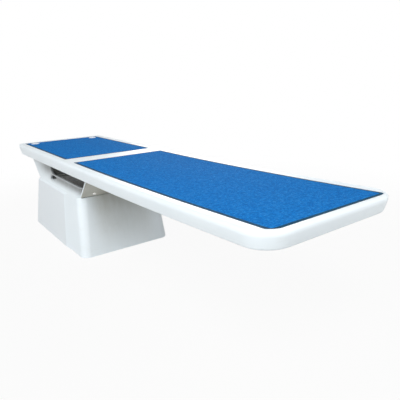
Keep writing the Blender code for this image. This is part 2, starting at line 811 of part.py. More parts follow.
def build_band():
    """The proud band round the box's rear part: its front edge is a wide bevel that sinks into the wall."""
    top = BOX_HEIGHT - BAND_TOP_MARGIN
    low = top - BAND_TOP_BEVEL
    proud = mix(BAND_PROUD_FOOT, BAND_PROUD_TOP, low / BOX_HEIGHT)
    loops = [
        band_loop(0.0, BAND_PROUD_FOOT, -BAND_SUNK),
        band_loop(low, proud, -BAND_SUNK),
        band_loop(top, -BAND_SUNK, -BAND_SUNK),
        band_loop(top, -BAND_ROOT, -BAND_ROOT),
        band_loop(0.0, -BAND_ROOT, -BAND_ROOT),
    ]
    return ring("band", loops)


def build_pedestal_shell(white):
    edge = BOX_EDGE_RADIUS
    section = [(0.0, 0.0)]
    for k in range(4):
        turn = math.pi / 2 * k / 3
        section.append((BOX_HEIGHT - edge * (1 - math.sin(turn)), edge * (1 - math.cos(turn))))
    section += [
        (BOX_HEIGHT, RETURN_WIDTH),
        (BOX_HEIGHT - RETURN_THICKNESS, RETURN_WIDTH),
        (BOX_HEIGHT - RETURN_THICKNESS, BOX_WALL),
        (FOOT_FLANGE_THICKNESS, BOX_WALL),
        (FOOT_FLANGE_THICKNESS, FOOT_FLANGE_WIDTH),
        (0.0, FOOT_FLANGE_WIDTH),
    ]
    shell = ring("pedestal_shell", [box_loop(z, inset) for z, inset in section], white)
    combine(shell, build_arm(), "UNION")
    combine(shell, build_band(), "UNION")
    for side, sign in (("right", -1), ("left", 1)):
        hole = hole_cutter(
            "cut_arm_hole_" + side,
            REAR_BOLT_X,
            sign * REAR_BOLT_Y,
            REAR_BOLT_RADIUS + GAP,
            ARM_TOP - ARM_FLANGE_THICKNESS,
            ARM_TOP,
        )
        cut(shell, hole)
        for place, x in anchor_places():
            hole = hole_cutter(
                f"cut_anchor_{place}_{side}",
                x,
                sign * ANCHOR_Y,
                ANCHOR_RADIUS + GAP,
                0.0,
                FOOT_FLANGE_THICKNESS,
            )
            cut(shell, hole)
        hole = hole_cutter(
            "cut_bracket_hole_" + side,
            REAR_BEAM_X,
            sign * BRACKET_BOLT_Y,
            SMALL_BOLT_RADIUS + GAP,
            BOX_HEIGHT - RETURN_THICKNESS,
            BOX_HEIGHT,
        )
        cut(shell, hole)
    for side, y in three_places(PLATE_BOLT_Y):
        hole = hole_cutter(
            "cut_return_hole_" + side,
            FRONT_BEAM_X,
            y,
            SMALL_BOLT_RADIUS + GAP,
            BOX_HEIGHT - RETURN_THICKNESS,
            BOX_HEIGHT,
        )
        cut(shell, hole)


def anchor_places():
    return (("rear", REAR_BEAM_X + ANCHOR_FROM_BEAM), ("front", FRONT_BEAM_X - ANCHOR_FROM_BEAM))


def three_places(spacing):
    """A place on each side and one on the centreline, by name and y."""
    return (("right", -spacing), ("center", 0.0), ("left", spacing))


def web_point(along, off):
    """A point on the front plate's leaning web: along it from the lower bend, and off it to the rear."""
    lean = PLATE_LEAN
    x = PLATE_BEND_X + along * math.sin(lean) - off * math.cos(lean)
    z = PLATE_FLANGE_Z + along * math.cos(lean) + off * math.sin(lean)
    return x, z


def build_front_plate(white, steel):
    """The leaning plate: a foot on the box, a web at an angle and a top flange under the board."""
    corners = [
        (PLATE_BEND_X - PLATE_FOOT_WIDTH, PLATE_FLANGE_Z),
        (PLATE_BEND_X, PLATE_FLANGE_Z),
        (PLATE_TOP_X, PLATE_TOP_Z),
        (PLATE_TOP_X - PLATE_TOP_WIDTH, PLATE_TOP_Z),
    ]
    outline = sheet_outline(corners, PLATE_THICKNESS, PLATE_BEND_RADIUS)
    plate = prism_y("front_plate", outline, PLATE_HALF, finish=white)
    notch_low = BOX_HEIGHT - CUT_OVERRUN
    notch_high = PLATE_FLANGE_Z + 2 * CUT_OVERRUN
    notch_rear = PLATE_BEND_X - PLATE_FOOT_WIDTH - CUT_OVERRUN
    notch_front = PLATE_BEND_X - PLATE_NOTCH_FROM_BEND
    notch_half = PLATE_NOTCH_FROM_BOX_SIDE / 2
    for side, sign in (("right", -1), ("left", 1)):
        profile = [
            (notch_rear, notch_low),
            (notch_front, notch_low),
            (notch_front, notch_high),
            (notch_rear, notch_high),
        ]
        cut(plate, prism_y("cut_notch_" + side, profile, notch_half, sign * (PLATE_NOTCH_Y + notch_half)))
    web_x, web_z = web_point(PLATE_BOLT_UP_WEB, 0.0)
    for side, y in three_places(PLATE_BOLT_Y):
        web_hole = hole_cutter("cut_web_hole_" + side, web_x, y, SMALL_BOLT_RADIUS + GAP, 0.0, 0.0)
        web_hole.location.z = web_z
        web_hole.rotation_euler = (0, math.pi / 2 + PLATE_LEAN, 0)
        foot_hole = hole_cutter(
            "cut_foot_hole_" + side,
            FRONT_BEAM_X,
            y,
            SMALL_BOLT_RADIUS + GAP,
            BOX_HEIGHT,
            BOX_HEIGHT + PLATE_THICKNESS + GUSSET_THICKNESS,
        )
        cut(plate, web_hole)
        cut(plate, foot_hole)
        gusset = build_gusset(side, y, steel)
        cut(gusset, web_hole)
        cut(gusset, foot_hole)
    for side, y in three_places(STRINGER_SPACING):
        hole = hole_cutter(
            "cut_plate_screw_" + side,
            SCREW_X,
            y,
            SMALL_BOLT_RADIUS + GAP,
            PLATE_TOP - PLATE_THICKNESS,
            PLATE_TOP,
        )
        cut(plate, hole)


def build_gusset(side, y, steel):
    """A folded angle behind the plate that ties its web to its foot."""
    off = PLATE_THICKNESS / 2 + GAP + GUSSET_THICKNESS / 2
    foot_z = PLATE_FLANGE_Z + off
    along = (foot_z - PLATE_FLANGE_Z - off * math.sin(PLATE_LEAN)) / math.cos(PLATE_LEAN)
    corner = web_point(along, off)
    end = web_point(along + GUSSET_WEB, off)
    corners = [(corner[0] - GUSSET_FOOT, foot_z), corner, end]
    outline = sheet_outline(corners, GUSSET_THICKNESS, PLATE_BEND_RADIUS - off + GUSSET_BEND_CLEARANCE)
    return prism_y("gusset_" + side, outline, GUSSET_WIDTH / 2, y, steel)


def build_plate_fasteners(steel):
    web_off = PLATE_THICKNESS / 2 + GAP
    nut_off = web_off + GUSSET_THICKNESS + GAP
    tilt = math.pi / 2 + PLATE_LEAN
    shank = PLATE_THICKNESS + GUSSET_THICKNESS + NUT_HEIGHT + SMALL_BOLT_OVERRUN
    foot_top = PLATE_FLANGE_Z + PLATE_THICKNESS / 2 + GUSSET_THICKNESS + 2 * GAP
    for side, y in three_places(PLATE_BOLT_Y):
        x, z = web_point(PLATE_BOLT_UP_WEB, -web_off)
        bolt(
            "web_bolt_" + side, (x, y, z), SMALL_BOLT_RADIUS, shank, SMALL_HEAD_RADIUS, SMALL_HEAD_HEIGHT,
            steel, tilt=tilt,
        )
        x, z = web_point(PLATE_BOLT_UP_WEB, nut_off)
        nut(
            "web_nut_" + side, (x, y, z), SMALL_BOLT_RADIUS + GAP, SMALL_HEAD_RADIUS, NUT_HEIGHT, steel,
            tilt=tilt - math.pi,
        )
        bolt(
            "foot_bolt_" + side,
            (FRONT_BEAM_X, y, foot_top),
            SMALL_BOLT_RADIUS,
            foot_top - (BOX_HEIGHT - RETURN_THICKNESS - TUBE_WALL - BEAM_BOLT_OVERRUN),
            SMALL_HEAD_RADIUS,
            SMALL_HEAD_HEIGHT,
            steel,
        )
    for side, y in three_places(STRINGER_SPACING):
        bolt(
            "board_screw_" + side,
            (SCREW_X, y, PLATE_TOP - PLATE_THICKNESS - GAP),
            SMALL_BOLT_RADIUS,
            SCREW_LENGTH,
            SMALL_HEAD_RADIUS,
            SMALL_HEAD_HEIGHT,
            steel,
            tilt=math.pi,
        )


def build_pads(rubber):
    """Rubber strips that carry the board on the arm's flange and on the plate's flange."""

    def top(x):
        return underside(x, -GAP)

    rear = BOX_TOP_REAR - ARM_FLARE + REAR_PAD_MARGIN
    half = BOX_TOP_HALF - ARM_NARROWING - REAR_PAD_SIDE_MARGIN
    rear_pad = bent_bar(
        "rear_pad", rear, rear + REAR_PAD_LENGTH, -half, half, lambda x: ARM_TOP + GAP, top, rubber, 6
    )
    for sign, side in ((-1, "right"), (1, "left")):
        hole = hole_cutter(
            "cut_pad_hole_" + side,
            REAR_BOLT_X,
            sign * REAR_BOLT_Y,
            REAR_BOLT_RADIUS + GAP,
            ARM_TOP,
            underside(REAR_BOLT_X),
        )
        cut(rear_pad, hole)
    front_end = PLATE_TOP_X - PLATE_BEND_RADIUS
    front_pad = bent_bar(
        "front_pad",
        front_end - FRONT_PAD_LENGTH,
        front_end,
        -PLATE_HALF + FRONT_PAD_SIDE_MARGIN,
        PLATE_HALF - FRONT_PAD_SIDE_MARGIN,
        lambda x: PLATE_TOP + GAP,
        top,
        rubber,
        4,
    )
    for side, y in three_places(STRINGER_SPACING):
        hole = hole_cutter(
            "cut_front_pad_" + side,
            SCREW_X,
            y,
            SMALL_BOLT_RADIUS + GAP,
            PLATE_TOP,
            underside(SCREW_X),
        )
        cut(front_pad, hole)


def square_tube(name, low, high, axis, steel):
    """A square tube between two corners, open at both ends, along Z or Y."""
    x0, y0, z0 = low
    x1, y1, z1 = high
    loops = []
    for inset, ends in ((0.0, (0, 1)), (TUBE_WALL, (1, 0))):
        left, right = x0 + inset, x1 - inset
        for end in ends:
            if axis == "Z":
                z = (z0, z1)[end]
                near, far = y0 + inset, y1 - inset
                loops.append([(left, near, z), (right, near, z), (right, far, z), (left, far, z)])
            else:
                y = (y0, y1)[end]
                low, high = z0 + inset, z1 - inset
                loops.append([(left, y, low), (left, y, high), (right, y, high), (right, y, low)])
    return ring(name, loops, steel)


def build_frame(steel):
    """Two rails on the foot flange, four legs on them and two beams under the box's top."""
    rail_low = FOOT_FLANGE_THICKNESS + GAP
    rail_high = rail_low + RAIL_THICKNESS
    beam_high = BOX_HEIGHT - RETURN_THICKNESS - GAP
    beam_low = beam_high - TUBE_SIZE
    half = TUBE_SIZE / 2
    for place, x in (("rear", REAR_BEAM_X), ("front", FRONT_BEAM_X)):
        beam = square_tube(
            place + "_beam",
            (x - half, -BEAM_HALF_LENGTH, beam_low),
            (x + half, BEAM_HALF_LENGTH, beam_high),
            "Y",
            steel,
        )
        places = three_places(PLATE_BOLT_Y)
        if place == "rear":
            places = (("right", -BRACKET_BOLT_Y), ("left", BRACKET_BOLT_Y))
        for side, y in places:
            hole = hole_cutter(
                f"cut_{place}_beam_{side}",
                x,
                y,
                SMALL_BOLT_RADIUS + GAP,
                beam_high - TUBE_WALL,
                beam_high,
            )
            cut(beam, hole)
        for side, sign in (("right", -1), ("left", 1)):
            y = sign * LEG_Y
            square_tube(
                f"{place}_leg_{side}",
                (x - half, y - half, rail_high + GAP),
                (x + half, y + half, beam_low - GAP),
                "Z",
                steel,
            )
    for side, sign in (("right", -1), ("left", 1)):
        y = sign * RAIL_Y
        rail = bent_bar(
            "base_rail_" + side,
            FOOT_REAR + RAIL_END_SPACE,
            FOOT_FRONT - RAIL_END_SPACE,
            y - RAIL_WIDTH / 2,
            y + RAIL_WIDTH / 2,
            lambda x: rail_low,
            lambda x: rail_high,
            steel,
            steps=1,
        )
        for place, x in anchor_places():
            hole = hole_cutter(
                f"cut_rail_{place}_{side}", x, sign * ANCHOR_Y, ANCHOR_RADIUS + GAP, rail_low, rail_high
            )
            cut(rail, hole)


def build_anchors(steel):
    """Studs that stand in the deck, and the nuts that hold rail and flange down."""
    nut_z = FOOT_FLANGE_THICKNESS + RAIL_THICKNESS + 2 * GAP
    for side, sign in (("right", -1), ("left", 1)):
        for place, x in anchor_places():
            rows = [
                (ANCHOR_RADIUS, 0.0, False),
                (ANCHOR_RADIUS, ANCHOR_HEIGHT - 0.0015, False),
                (ANCHOR_RADIUS * 0.75, ANCHOR_HEIGHT, False),
            ]
            stud = turned(f"anchor_stud_{place}_{side}", rows, HEX_STEPS, steel)
            stud.location = (x, sign * ANCHOR_Y, 0)
            nut(
                f"anchor_nut_{place}_{side}",
                (x, sign * ANCHOR_Y, nut_z),
                ANCHOR_RADIUS + GAP,
                ANCHOR_NUT_RADIUS,
                ANCHOR_NUT_HEIGHT,
                steel,
                flange=(ANCHOR_FLANGE_RADIUS, ANCHOR_FLANGE_HEIGHT),
            )


def build_rear_mounting(steel):
    """Brackets inside the arm, and the bolts that hold the board's rear end down to them."""
    thickness = BRACKET_THICKNESS
    foot_z = BOX_HEIGHT + GAP + thickness / 2
    top_z = ARM_TOP - ARM_FLANGE_THICKNESS - GAP - thickness / 2
    outer = arm_half(top_z) - ARM_WALL_SIDE - BRACKET_WALL_CLEARANCE
    centre = outer - BRACKET_WIDTH / 2
    bend_x = REAR_BOLT_X + BRACKET_TOP_FRONT
    foot_x = REAR_BEAM_X - BRACKET_FOOT_REAR
    corners = [
        (bend_x - BRACKET_TOP, top_z),
        (bend_x, top_z),
        (foot_x, foot_z),
        (foot_x + BRACKET_FOOT, foot_z),
    ]
    outline = sheet_outline(corners, thickness, PLATE_BEND_RADIUS)
    head_seat = board_inside_top(REAR_BOLT_X) - BLOCK_COUNTERBORE + GAP
    nut_z = top_z - thickness / 2 - GAP
    for side, sign in (("right", -1), ("left", 1)):
        bracket = prism_y("rear_bracket_" + side, outline, BRACKET_WIDTH / 2, sign * centre, steel)
        top_hole = hole_cutter(
            "cut_bracket_top_" + side,
            REAR_BOLT_X,
            sign * REAR_BOLT_Y,
            REAR_BOLT_RADIUS + GAP,
            top_z,
            top_z,
        )
        foot_hole = hole_cutter(
            "cut_bracket_foot_" + side,
            REAR_BEAM_X,
            sign * BRACKET_BOLT_Y,
            SMALL_BOLT_RADIUS + GAP,
            foot_z,
            foot_z,
        )
        cut(bracket, top_hole)
        cut(bracket, foot_hole)
        bolt(
            "rear_bolt_" + side,
            (REAR_BOLT_X, sign * REAR_BOLT_Y, head_seat),
            REAR_BOLT_RADIUS,
            head_seat - nut_z + REAR_NUT_HEIGHT + REAR_BOLT_OVERRUN,
            REAR_BOLT_HEAD_RADIUS,
            REAR_BOLT_HEAD_HEIGHT,
            steel,
            hexagonal=False,
        )
        nut(
            "rear_nut_" + side,
            (REAR_BOLT_X, sign * REAR_BOLT_Y, nut_z),
            REAR_BOLT_RADIUS + GAP,
            REAR_NUT_RADIUS,
            REAR_NUT_HEIGHT,
            steel,
            tilt=math.pi,
        )
        foot_top = foot_z + thickness / 2 + GAP
        bolt(
            "bracket_bolt_" + side,
            (REAR_BEAM_X, sign * BRACKET_BOLT_Y, foot_top),
            SMALL_BOLT_RADIUS,
            foot_top - (BOX_HEIGHT - RETURN_THICKNESS - TUBE_WALL - BEAM_BOLT_OVERRUN),
            SMALL_HEAD_RADIUS,
            SMALL_HEAD_HEIGHT,
            steel,
        )


def main():
    clear_scene()
    white = material("white_gelcoat", (0.86, 0.88, 0.90), 0.22)
    laminate = material("raw_laminate", (0.46, 0.48, 0.47), 0.75)
    grit = material("blue_grit", (0.02, 0.16, 0.50), 0.85)
    timber = material("timber", (0.52, 0.36, 0.20), 0.70)
    rubber = material("black_rubber", (0.03, 0.03, 0.03), 0.80)
    stainless = material("stainless_steel", (0.55, 0.55, 0.52), 0.35, 1.0)
    galvanised = material("galvanised_steel", (0.45, 0.46, 0.46), 0.55, 0.9)
    build_board_shell(white)
    build_treads(grit)
    build_board_inside(laminate, timber)
    build_caps(white)
    build_pedestal_shell(white)
    build_front_plate(white, stainless)
    build_plate_fasteners(stainless)
    build_pads(rubber)
    build_frame(galvanised)
    build_anchors(stainless)
    build_rear_mounting(galvanised)


main()
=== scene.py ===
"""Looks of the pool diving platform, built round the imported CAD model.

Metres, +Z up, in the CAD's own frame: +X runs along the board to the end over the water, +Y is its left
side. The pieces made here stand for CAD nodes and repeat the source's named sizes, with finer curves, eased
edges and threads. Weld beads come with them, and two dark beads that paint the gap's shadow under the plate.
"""

import json
import math

import bmesh
import bpy
from mathutils import Matrix, Vector


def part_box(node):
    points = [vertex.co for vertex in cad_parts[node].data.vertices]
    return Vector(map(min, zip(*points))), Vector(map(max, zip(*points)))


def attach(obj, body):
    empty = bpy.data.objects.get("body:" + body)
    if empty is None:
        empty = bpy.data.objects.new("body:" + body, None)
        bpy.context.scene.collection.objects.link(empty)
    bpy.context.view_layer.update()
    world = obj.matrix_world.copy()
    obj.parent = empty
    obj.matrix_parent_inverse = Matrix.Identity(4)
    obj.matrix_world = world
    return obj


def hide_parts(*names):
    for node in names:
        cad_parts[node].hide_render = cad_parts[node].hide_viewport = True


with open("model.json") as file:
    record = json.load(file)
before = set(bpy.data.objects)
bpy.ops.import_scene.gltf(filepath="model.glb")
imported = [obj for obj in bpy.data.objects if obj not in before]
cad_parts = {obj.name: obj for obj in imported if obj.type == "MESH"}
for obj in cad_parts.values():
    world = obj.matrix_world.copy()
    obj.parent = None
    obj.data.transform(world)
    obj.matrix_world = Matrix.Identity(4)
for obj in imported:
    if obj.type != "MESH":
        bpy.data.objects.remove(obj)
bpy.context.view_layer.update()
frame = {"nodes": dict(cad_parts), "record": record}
nodes = frame["nodes"]
slot_of = {row["node"]: row["material_slot"] for row in frame["record"]["subparts"]}

# Camera, as fitted to the photograph
CAMERA_PLACE = (1.52731, -0.79125, 0.76098)
CAMERA_RIGHT = (0.59352, 0.80424, -0.03037)
CAMERA_DOWN = (0.20814, -0.18983, -0.95950)
CAMERA_FORWARD = (-0.77744, 0.56316, -0.28006)
CAMERA_LENS = 36.64
SENSOR = 36.0

# The clearance that touching pieces keep, and how far a cutter runs past what it cuts
GAP = 0.0003
CUT_OVERRUN = 0.010

# Board
BOARD_LENGTH = 2.000
BOARD_WIDTH = 0.500
NOSE_RISE = 0.019
LEVEL_LENGTH = 0.950
DEPTH_REAR = 0.0585
DEPTH_FRONT = 0.047
REAR_CORNER_RADIUS = 0.030
FRONT_CORNER_RADIUS = 0.080
LEAST_RADIUS = 0.004
SIDE_DRAFT = 0.0075
BOTTOM_EDGE_RADIUS = 0.008
SIDE_TOP_RADIUS = 0.022
RIM_ROUND_WIDTH = 0.011
RIM_ROUND_HEIGHT = 0.0135
RIM_CREST = 0.0019
RIM_CREST_RADIUS = 0.004
RIM_FALL_WIDTH = 0.006
RIM_FALL_RADIUS = 0.005
RIM_INNER = 0.030
BOARD_SKIN = 0.006
BOARD_WALL = 0.012
BASE_THICKNESS = 0.006

# Treads, each with a margin pressed lower than its grit
SIDE_RIM = 0.033
REAR_RIM = 0.022
FRONT_RIM = 0.020
REAR_TREAD_LENGTH = 0.698
TREAD_STRIP = 0.100
TREAD_POCKET = 0.003
TREAD_THICKNESS = 0.0024
TREAD_EDGE_GAP = 0.0010
TREAD_SHARP_RADIUS = 0.005
TREAD_NOSE_RADIUS = 0.021
TREAD_LEAST_RADIUS = 0.001
TREAD_MARGIN = 0.0100
TREAD_MARGIN_DROP = 0.0003
TREAD_MARGIN_SLOPE = 0.0014
POCKET_EASE = 0.0012

# Rear mounting bolts and their caps
REAR_BOLT_FROM_END = 0.074
REAR_BOLT_FROM_ARM_SIDE = 0.023
REAR_BOLT_RADIUS = 0.005
CAP_RADIUS = 0.0210
CAP_STEM_RADIUS = 0.0155
CAP_RIM_HEIGHT = 0.0042
CAP_RIM_ROUND = 0.0016
CAP_CROWN = 0.0006
CAP_TREAD_CLEARANCE = 0.0012

# Pedestal box
FOOT_FROM_BOARD_END = 0.095
FOOT_LENGTH = 0.740
BOARD_OVERHANG = 0.0235
BOX_HEIGHT = 0.275
REAR_TAPER = 0.075
FRONT_TAPER = 0.036
SIDE_TAPER = 0.0215
BOX_RADIUS_FOOT = 0.040
BOX_RADIUS_TOP = 0.042
BOX_WALL = 0.007
BOX_EDGE_RADIUS = 0.006
FOOT_FLANGE_WIDTH = 0.050
FOOT_FLANGE_THICKNESS = 0.008
RETURN_WIDTH = 0.045
RETURN_THICKNESS = 0.007

# Proud band round the rear of the box, with a long bevel at its front and a short one along its top
BAND_FROM_FRONT_TOP = 0.179
BAND_FROM_FRONT_FOOT = 0.212
BAND_BEVEL_TOP = 0.030
BAND_BEVEL_FOOT = 0.095
BAND_TOP_MARGIN = 0.003
BAND_TOP_BEVEL = 0.009
BAND_PROUD = 0.0075
BAND_ROOT = 0.004
BAND_SUNK = 0.002
CREASE_NEAR = 0.001

# Rear arm
ARM_HEIGHT = 0.106
ARM_FLARE = 0.147
ARM_NARROWING = 0.010
ARM_RADIUS_TOP = 0.024
ARM_LEAST_RADIUS = 0.006
ARM_WALL_REAR = 0.007
ARM_WALL_SIDE = 0.009
ARM_SUNK = 0.0004
ARM_LEVELS = 14
ARM_FLANGE_REAR = 0.085
ARM_FLANGE_SIDE = 0.045
ARM_FLANGE_THICKNESS = 0.007
CHEEK_LENGTH = 0.306
CHEEK_SLOPE = 0.934

# Window in each side of the arm, the half-moon hole at its lower rear corner, and the hollowed sill
WINDOW_SILL = 0.053
WINDOW_CORNER_RADIUS = 0.035
HALF_MOON_FROM_CHEEK = 0.011
HALF_MOON_BELOW_SILL = 0.025
HALF_MOON_REACH = 0.036
HALF_MOON_HEIGHT = 0.018
HALF_MOON_TILT = math.radians(9)
COVE_ABOVE_BOX = 0.004
COVE_DEPTH = 0.0065
COVE_SKEW = 2.2
COVE_LIP = 0.005
ARM_PLATE_CLEARANCE = 0.0008

# Front plate
PAD_THICKNESS = 0.005
PLATE_THICKNESS = 0.008
PLATE_LEAN = math.radians(44)
PLATE_SETBACK = 0.003
PLATE_BOLT_FROM_BOX_SIDE = 0.070
PLATE_BOLT_UP_WEB = 0.018
# Dark beads under the ends of the plate's lower bend, a painted shadow of the gap there
PLATE_SHADOW_BEAD_SHORT = 0.0150
PLATE_SHADOW_BEAD_LENGTH = 0.062
PLATE_SHADOW_BEAD_FROM_FRONT = 0.0045
PLATE_SHADOW_BEAD_RADIUS = 0.0016
GUSSET_THICKNESS = 0.004

# Steel frame
TUBE_SIZE = 0.040
TUBE_WALL = 0.003
TUBE_CORNER = 0.005
TUBE_EASE = 0.0004
REAR_BEAM_FROM_BOX_END = 0.052
FRONT_BEAM_FROM_BOX_END = 0.034
LEG_FROM_BOX_SIDE = 0.053
BRACKET_BOLT_FROM_BOX_SIDE = 0.045
RAIL_THICKNESS = 0.008
WELD_RADIUS = 0.0024
WELD_RIPPLE = 0.0005
WELD_PITCH = 0.0035
WELD_STEPS = 10
WELD_POINTS_PER_PITCH = 5

# Small fasteners
SMALL_BOLT_RADIUS = 0.004
SMALL_HEAD_RADIUS = 0.0072
SMALL_HEAD_HEIGHT = 0.0055
WEB_HEAD_RADIUS = 0.0082
WEB_HEAD_HEIGHT = 0.0062
SMALL_BOLT_OVERRUN = 0.006
BEAM_BOLT_OVERRUN = 0.008
SMALL_PITCH = 0.00125
SMALL_HEAD = (SMALL_HEAD_RADIUS, SMALL_HEAD_HEIGHT, SMALL_PITCH)
NUT_HEIGHT = 0.0065
REAR_HEAD_RADIUS = 0.013
REAR_HEAD_HEIGHT = 0.004
REAR_NUT_RADIUS = 0.0092
REAR_PITCH = 0.0015
ANCHOR_RADIUS = 0.006
ANCHOR_PITCH = 0.00175
ANCHOR_FROM_FOOT_SIDE = 0.0415
ANCHOR_FROM_BEAM = 0.050
ANCHOR_NUT_RADIUS = 0.0105
ANCHOR_FLANGE_RADIUS = 0.0125
ANCHOR_FLANGE_HEIGHT = 0.003

# Threads, whose flanks rise from a flat root to a flat crest, and the turned off corners of hexagons
THREAD_DEPTH_SHARE = 0.56
THREAD_ROWS_PER_PITCH = 6
THREAD_FLANK = 1.25
THREAD_CREST = 0.12
HEX_CHAMFER = math.radians(30)
HEX_CHAMFER_STEPS = 4
HEX_FACE_SHARE = 0.97
HEX_FACE_EASE = 0.0002

# How finely curves are cut, how near points are one, and the angle from which an edge stays sharp
ARC_STEPS = 18
BOARD_STEPS = 56
ROUND_STEPS = 64
HEX_STEPS = 36
MERGE = 0.00002
SHARP_ANGLE = math.radians(32)

# Grains to a metre in the grit
GRIT_COARSE = 430.0
GRIT_FINE = 1250.0

# Floor, sky and lamps. A lamp is its name, turn from +X to -Y, angle over the level, width, height and power.
FLOOR_HALF = 30.0
FLOOR_BELOW = 0.0005
FLOOR_COLOR = (0.55, 0.55, 0.54, 1.0)
FLOOR_WHITE_NEAR = 0.93
FLOOR_SHADOW_REACH = (1.0, 2.6)
WORLD_LEVEL = 0.15
LAMP_TARGET = (0.0, 0.0, 0.3)
LAMP_DISTANCE = 5.0
LAMPS = (
    ("key", 42, 46, 2.4, 2.4, 152.0),
    ("side", 90, 14, 2.4, 2.4, 85.0),
    ("end", 24, 15.5, 0.8, 0.7, 36.0),
    ("end_far", -30, 30, 2.4, 2.4, 60.0),
    ("back", 220, 14, 2.4, 2.4, 105.0),
)

# Places that follow from these sizes
BOARD_REAR = -BOARD_LENGTH / 2
BOARD_FRONT = BOARD_LENGTH / 2
TREAD_REAR = BOARD_REAR + REAR_RIM
TREAD_FRONT = BOARD_FRONT - FRONT_RIM
STRIP_REAR = TREAD_REAR + REAR_TREAD_LENGTH
STRIP_FRONT = STRIP_REAR + TREAD_STRIP
TREAD_HALF = BOARD_WIDTH / 2 - SIDE_RIM
RISE_START = BOARD_REAR + LEVEL_LENGTH
FOOT_REAR = BOARD_REAR + FOOT_FROM_BOARD_END
FOOT_FRONT = FOOT_REAR + FOOT_LENGTH
FOOT_HALF = BOARD_WIDTH / 2 - BOARD_OVERHANG
BOX_TOP_REAR = FOOT_REAR + REAR_TAPER
BOX_TOP_FRONT = FOOT_FRONT - FRONT_TAPER
BOX_TOP_HALF = FOOT_HALF - SIDE_TAPER
REAR_BEAM_X = BOX_TOP_REAR + REAR_BEAM_FROM_BOX_END
FRONT_BEAM_X = BOX_TOP_FRONT - FRONT_BEAM_FROM_BOX_END
LEG_Y = BOX_TOP_HALF - LEG_FROM_BOX_SIDE
ANCHOR_Y = FOOT_HALF - ANCHOR_FROM_FOOT_SIDE
BRACKET_BOLT_Y = BOX_TOP_HALF - BRACKET_BOLT_FROM_BOX_SIDE
PLATE_BOLT_Y = BOX_TOP_HALF - PLATE_BOLT_FROM_BOX_SIDE
REAR_BOLT_X = BOARD_REAR + REAR_BOLT_FROM_END
REAR_BOLT_Y = BOX_TOP_HALF - ARM_NARROWING - REAR_BOLT_FROM_ARM_SIDE
SILL_Z = BOX_HEIGHT + WINDOW_SILL
ARM_TOP = BOX_HEIGHT + ARM_HEIGHT
PLATE_FLANGE_Z = BOX_HEIGHT + GAP + PLATE_THICKNESS / 2
PLATE_BEND_X = BOX_TOP_FRONT - PLATE_SETBACK
PLATE_REACH = math.tan(PLATE_LEAN)
BAND_FLAT_TOP = BOX_HEIGHT - BAND_TOP_MARGIN - BAND_TOP_BEVEL
BAND_LEAN = (BOX_TOP_FRONT - BAND_FROM_FRONT_TOP - FOOT_FRONT + BAND_FROM_FRONT_FOOT) / BOX_HEIGHT
SIDES = (("right", -1), ("left", 1))
PLATE_PLACES = (("right", -PLATE_BOLT_Y), ("center", 0.0), ("left", PLATE_BOLT_Y))
ANCHOR_PLACES = (("rear", REAR_BEAM_X + ANCHOR_FROM_BEAM), ("front", FRONT_BEAM_X - ANCHOR_FROM_BEAM))

# Each tread's field: node, rear, front, and the radii of its rear and front corners
TREAD_FIELDS = (
    ("tread_rear", TREAD_REAR, STRIP_REAR, TREAD_SHARP_RADIUS, TREAD_SHARP_RADIUS),
    ("tread_front", STRIP_FRONT, TREAD_FRONT, TREAD_SHARP_RADIUS, TREAD_NOSE_RADIUS),
)

# Painted shade on the pedestal, as where each patch starts and where it is full: under the board, in the cove
# up to the sill's lip, along the arm's top edge, and on the front face, where it is stronger by the plate
BOARD_PAINTED_SHADE_HEIGHTS = (SILL_Z - 0.045, SILL_Z + 0.028)
BOARD_PAINTED_SHADE_ALONG = (-0.90, -0.63)
COVE_PAINTED_SHADE_HEIGHTS = (BOX_HEIGHT + 0.004, SILL_Z - 0.016)
COVE_PAINTED_SHADE_ALONG = (-0.66, -0.56)
LIP_HEIGHTS = (SILL_Z - 0.0042, SILL_Z - 0.0030)
EDGE_PAINTED_SHADE_HEIGHTS = (ARM_TOP - 0.045, ARM_TOP - 0.004)
FRONT_PAINTED_SHADE_HEIGHTS = (-0.05, 0.20)
FRONT_PAINTED_SHADE_ALONG = (-0.235, -0.200)
FRONT_PAINTED_SHADE_ACROSS = (0.190, 0.090)
PLATE_PAINTED_SHADE_HEIGHTS = (0.16, BOX_HEIGHT)
PLATE_PAINTED_SHADE_ACROSS = (0.150, 0.060)
CREASE_BLUR = 0.0006


def mix(a, b, share):
    """The value a given share of the way from a to b."""
    return a + (b - a) * share


def rise(x):
    """How far the board has swept up from the level of its rear part."""
    return NOSE_RISE * (max(x - RISE_START, 0.0) / (BOARD_FRONT - RISE_START)) ** 2


def depth(x):
    """The board's depth from tread level to its flat underside."""
    return mix(DEPTH_REAR, DEPTH_FRONT, (x - BOARD_REAR) / BOARD_LENGTH)


TREAD_HEIGHT = ARM_TOP + PAD_THICKNESS + depth(REAR_BOLT_X)


def tread_level(x, lift=0.0):
    """The height of the board's top between its rims, or a lift over it."""
    return TREAD_HEIGHT + rise(x) + lift


def underside(x, lift=0.0):
    """The height of the board's flat underside, or a lift over it."""
    return TREAD_HEIGHT + rise(x) - depth(x) + lift


# Mesh making


def add_object(name, vertices, faces):
    mesh = bpy.data.meshes.new(name)
    mesh.from_pydata(vertices, [], faces)
    mesh.update()
    item = bpy.data.objects.new(name, mesh)
    bpy.context.scene.collection.objects.link(item)
    return item


def carve(item, cutters, operation="DIFFERENCE"):
    """Cuts the cutters from the item, or unites them with it, and takes them away."""
    for cutter in cutters:
        modifier = item.modifiers.new(cutter.name, "BOOLEAN")
        modifier.operation = operation
        modifier.solver = "EXACT"
        modifier.object = cutter
    depsgraph = bpy.context.evaluated_depsgraph_get()
    shaped = bpy.data.meshes.new_from_object(item.evaluated_get(depsgraph))
    item.modifiers.clear()
    item.data = shaped
    for cutter in cutters:
        bpy.data.objects.remove(cutter)
    return item


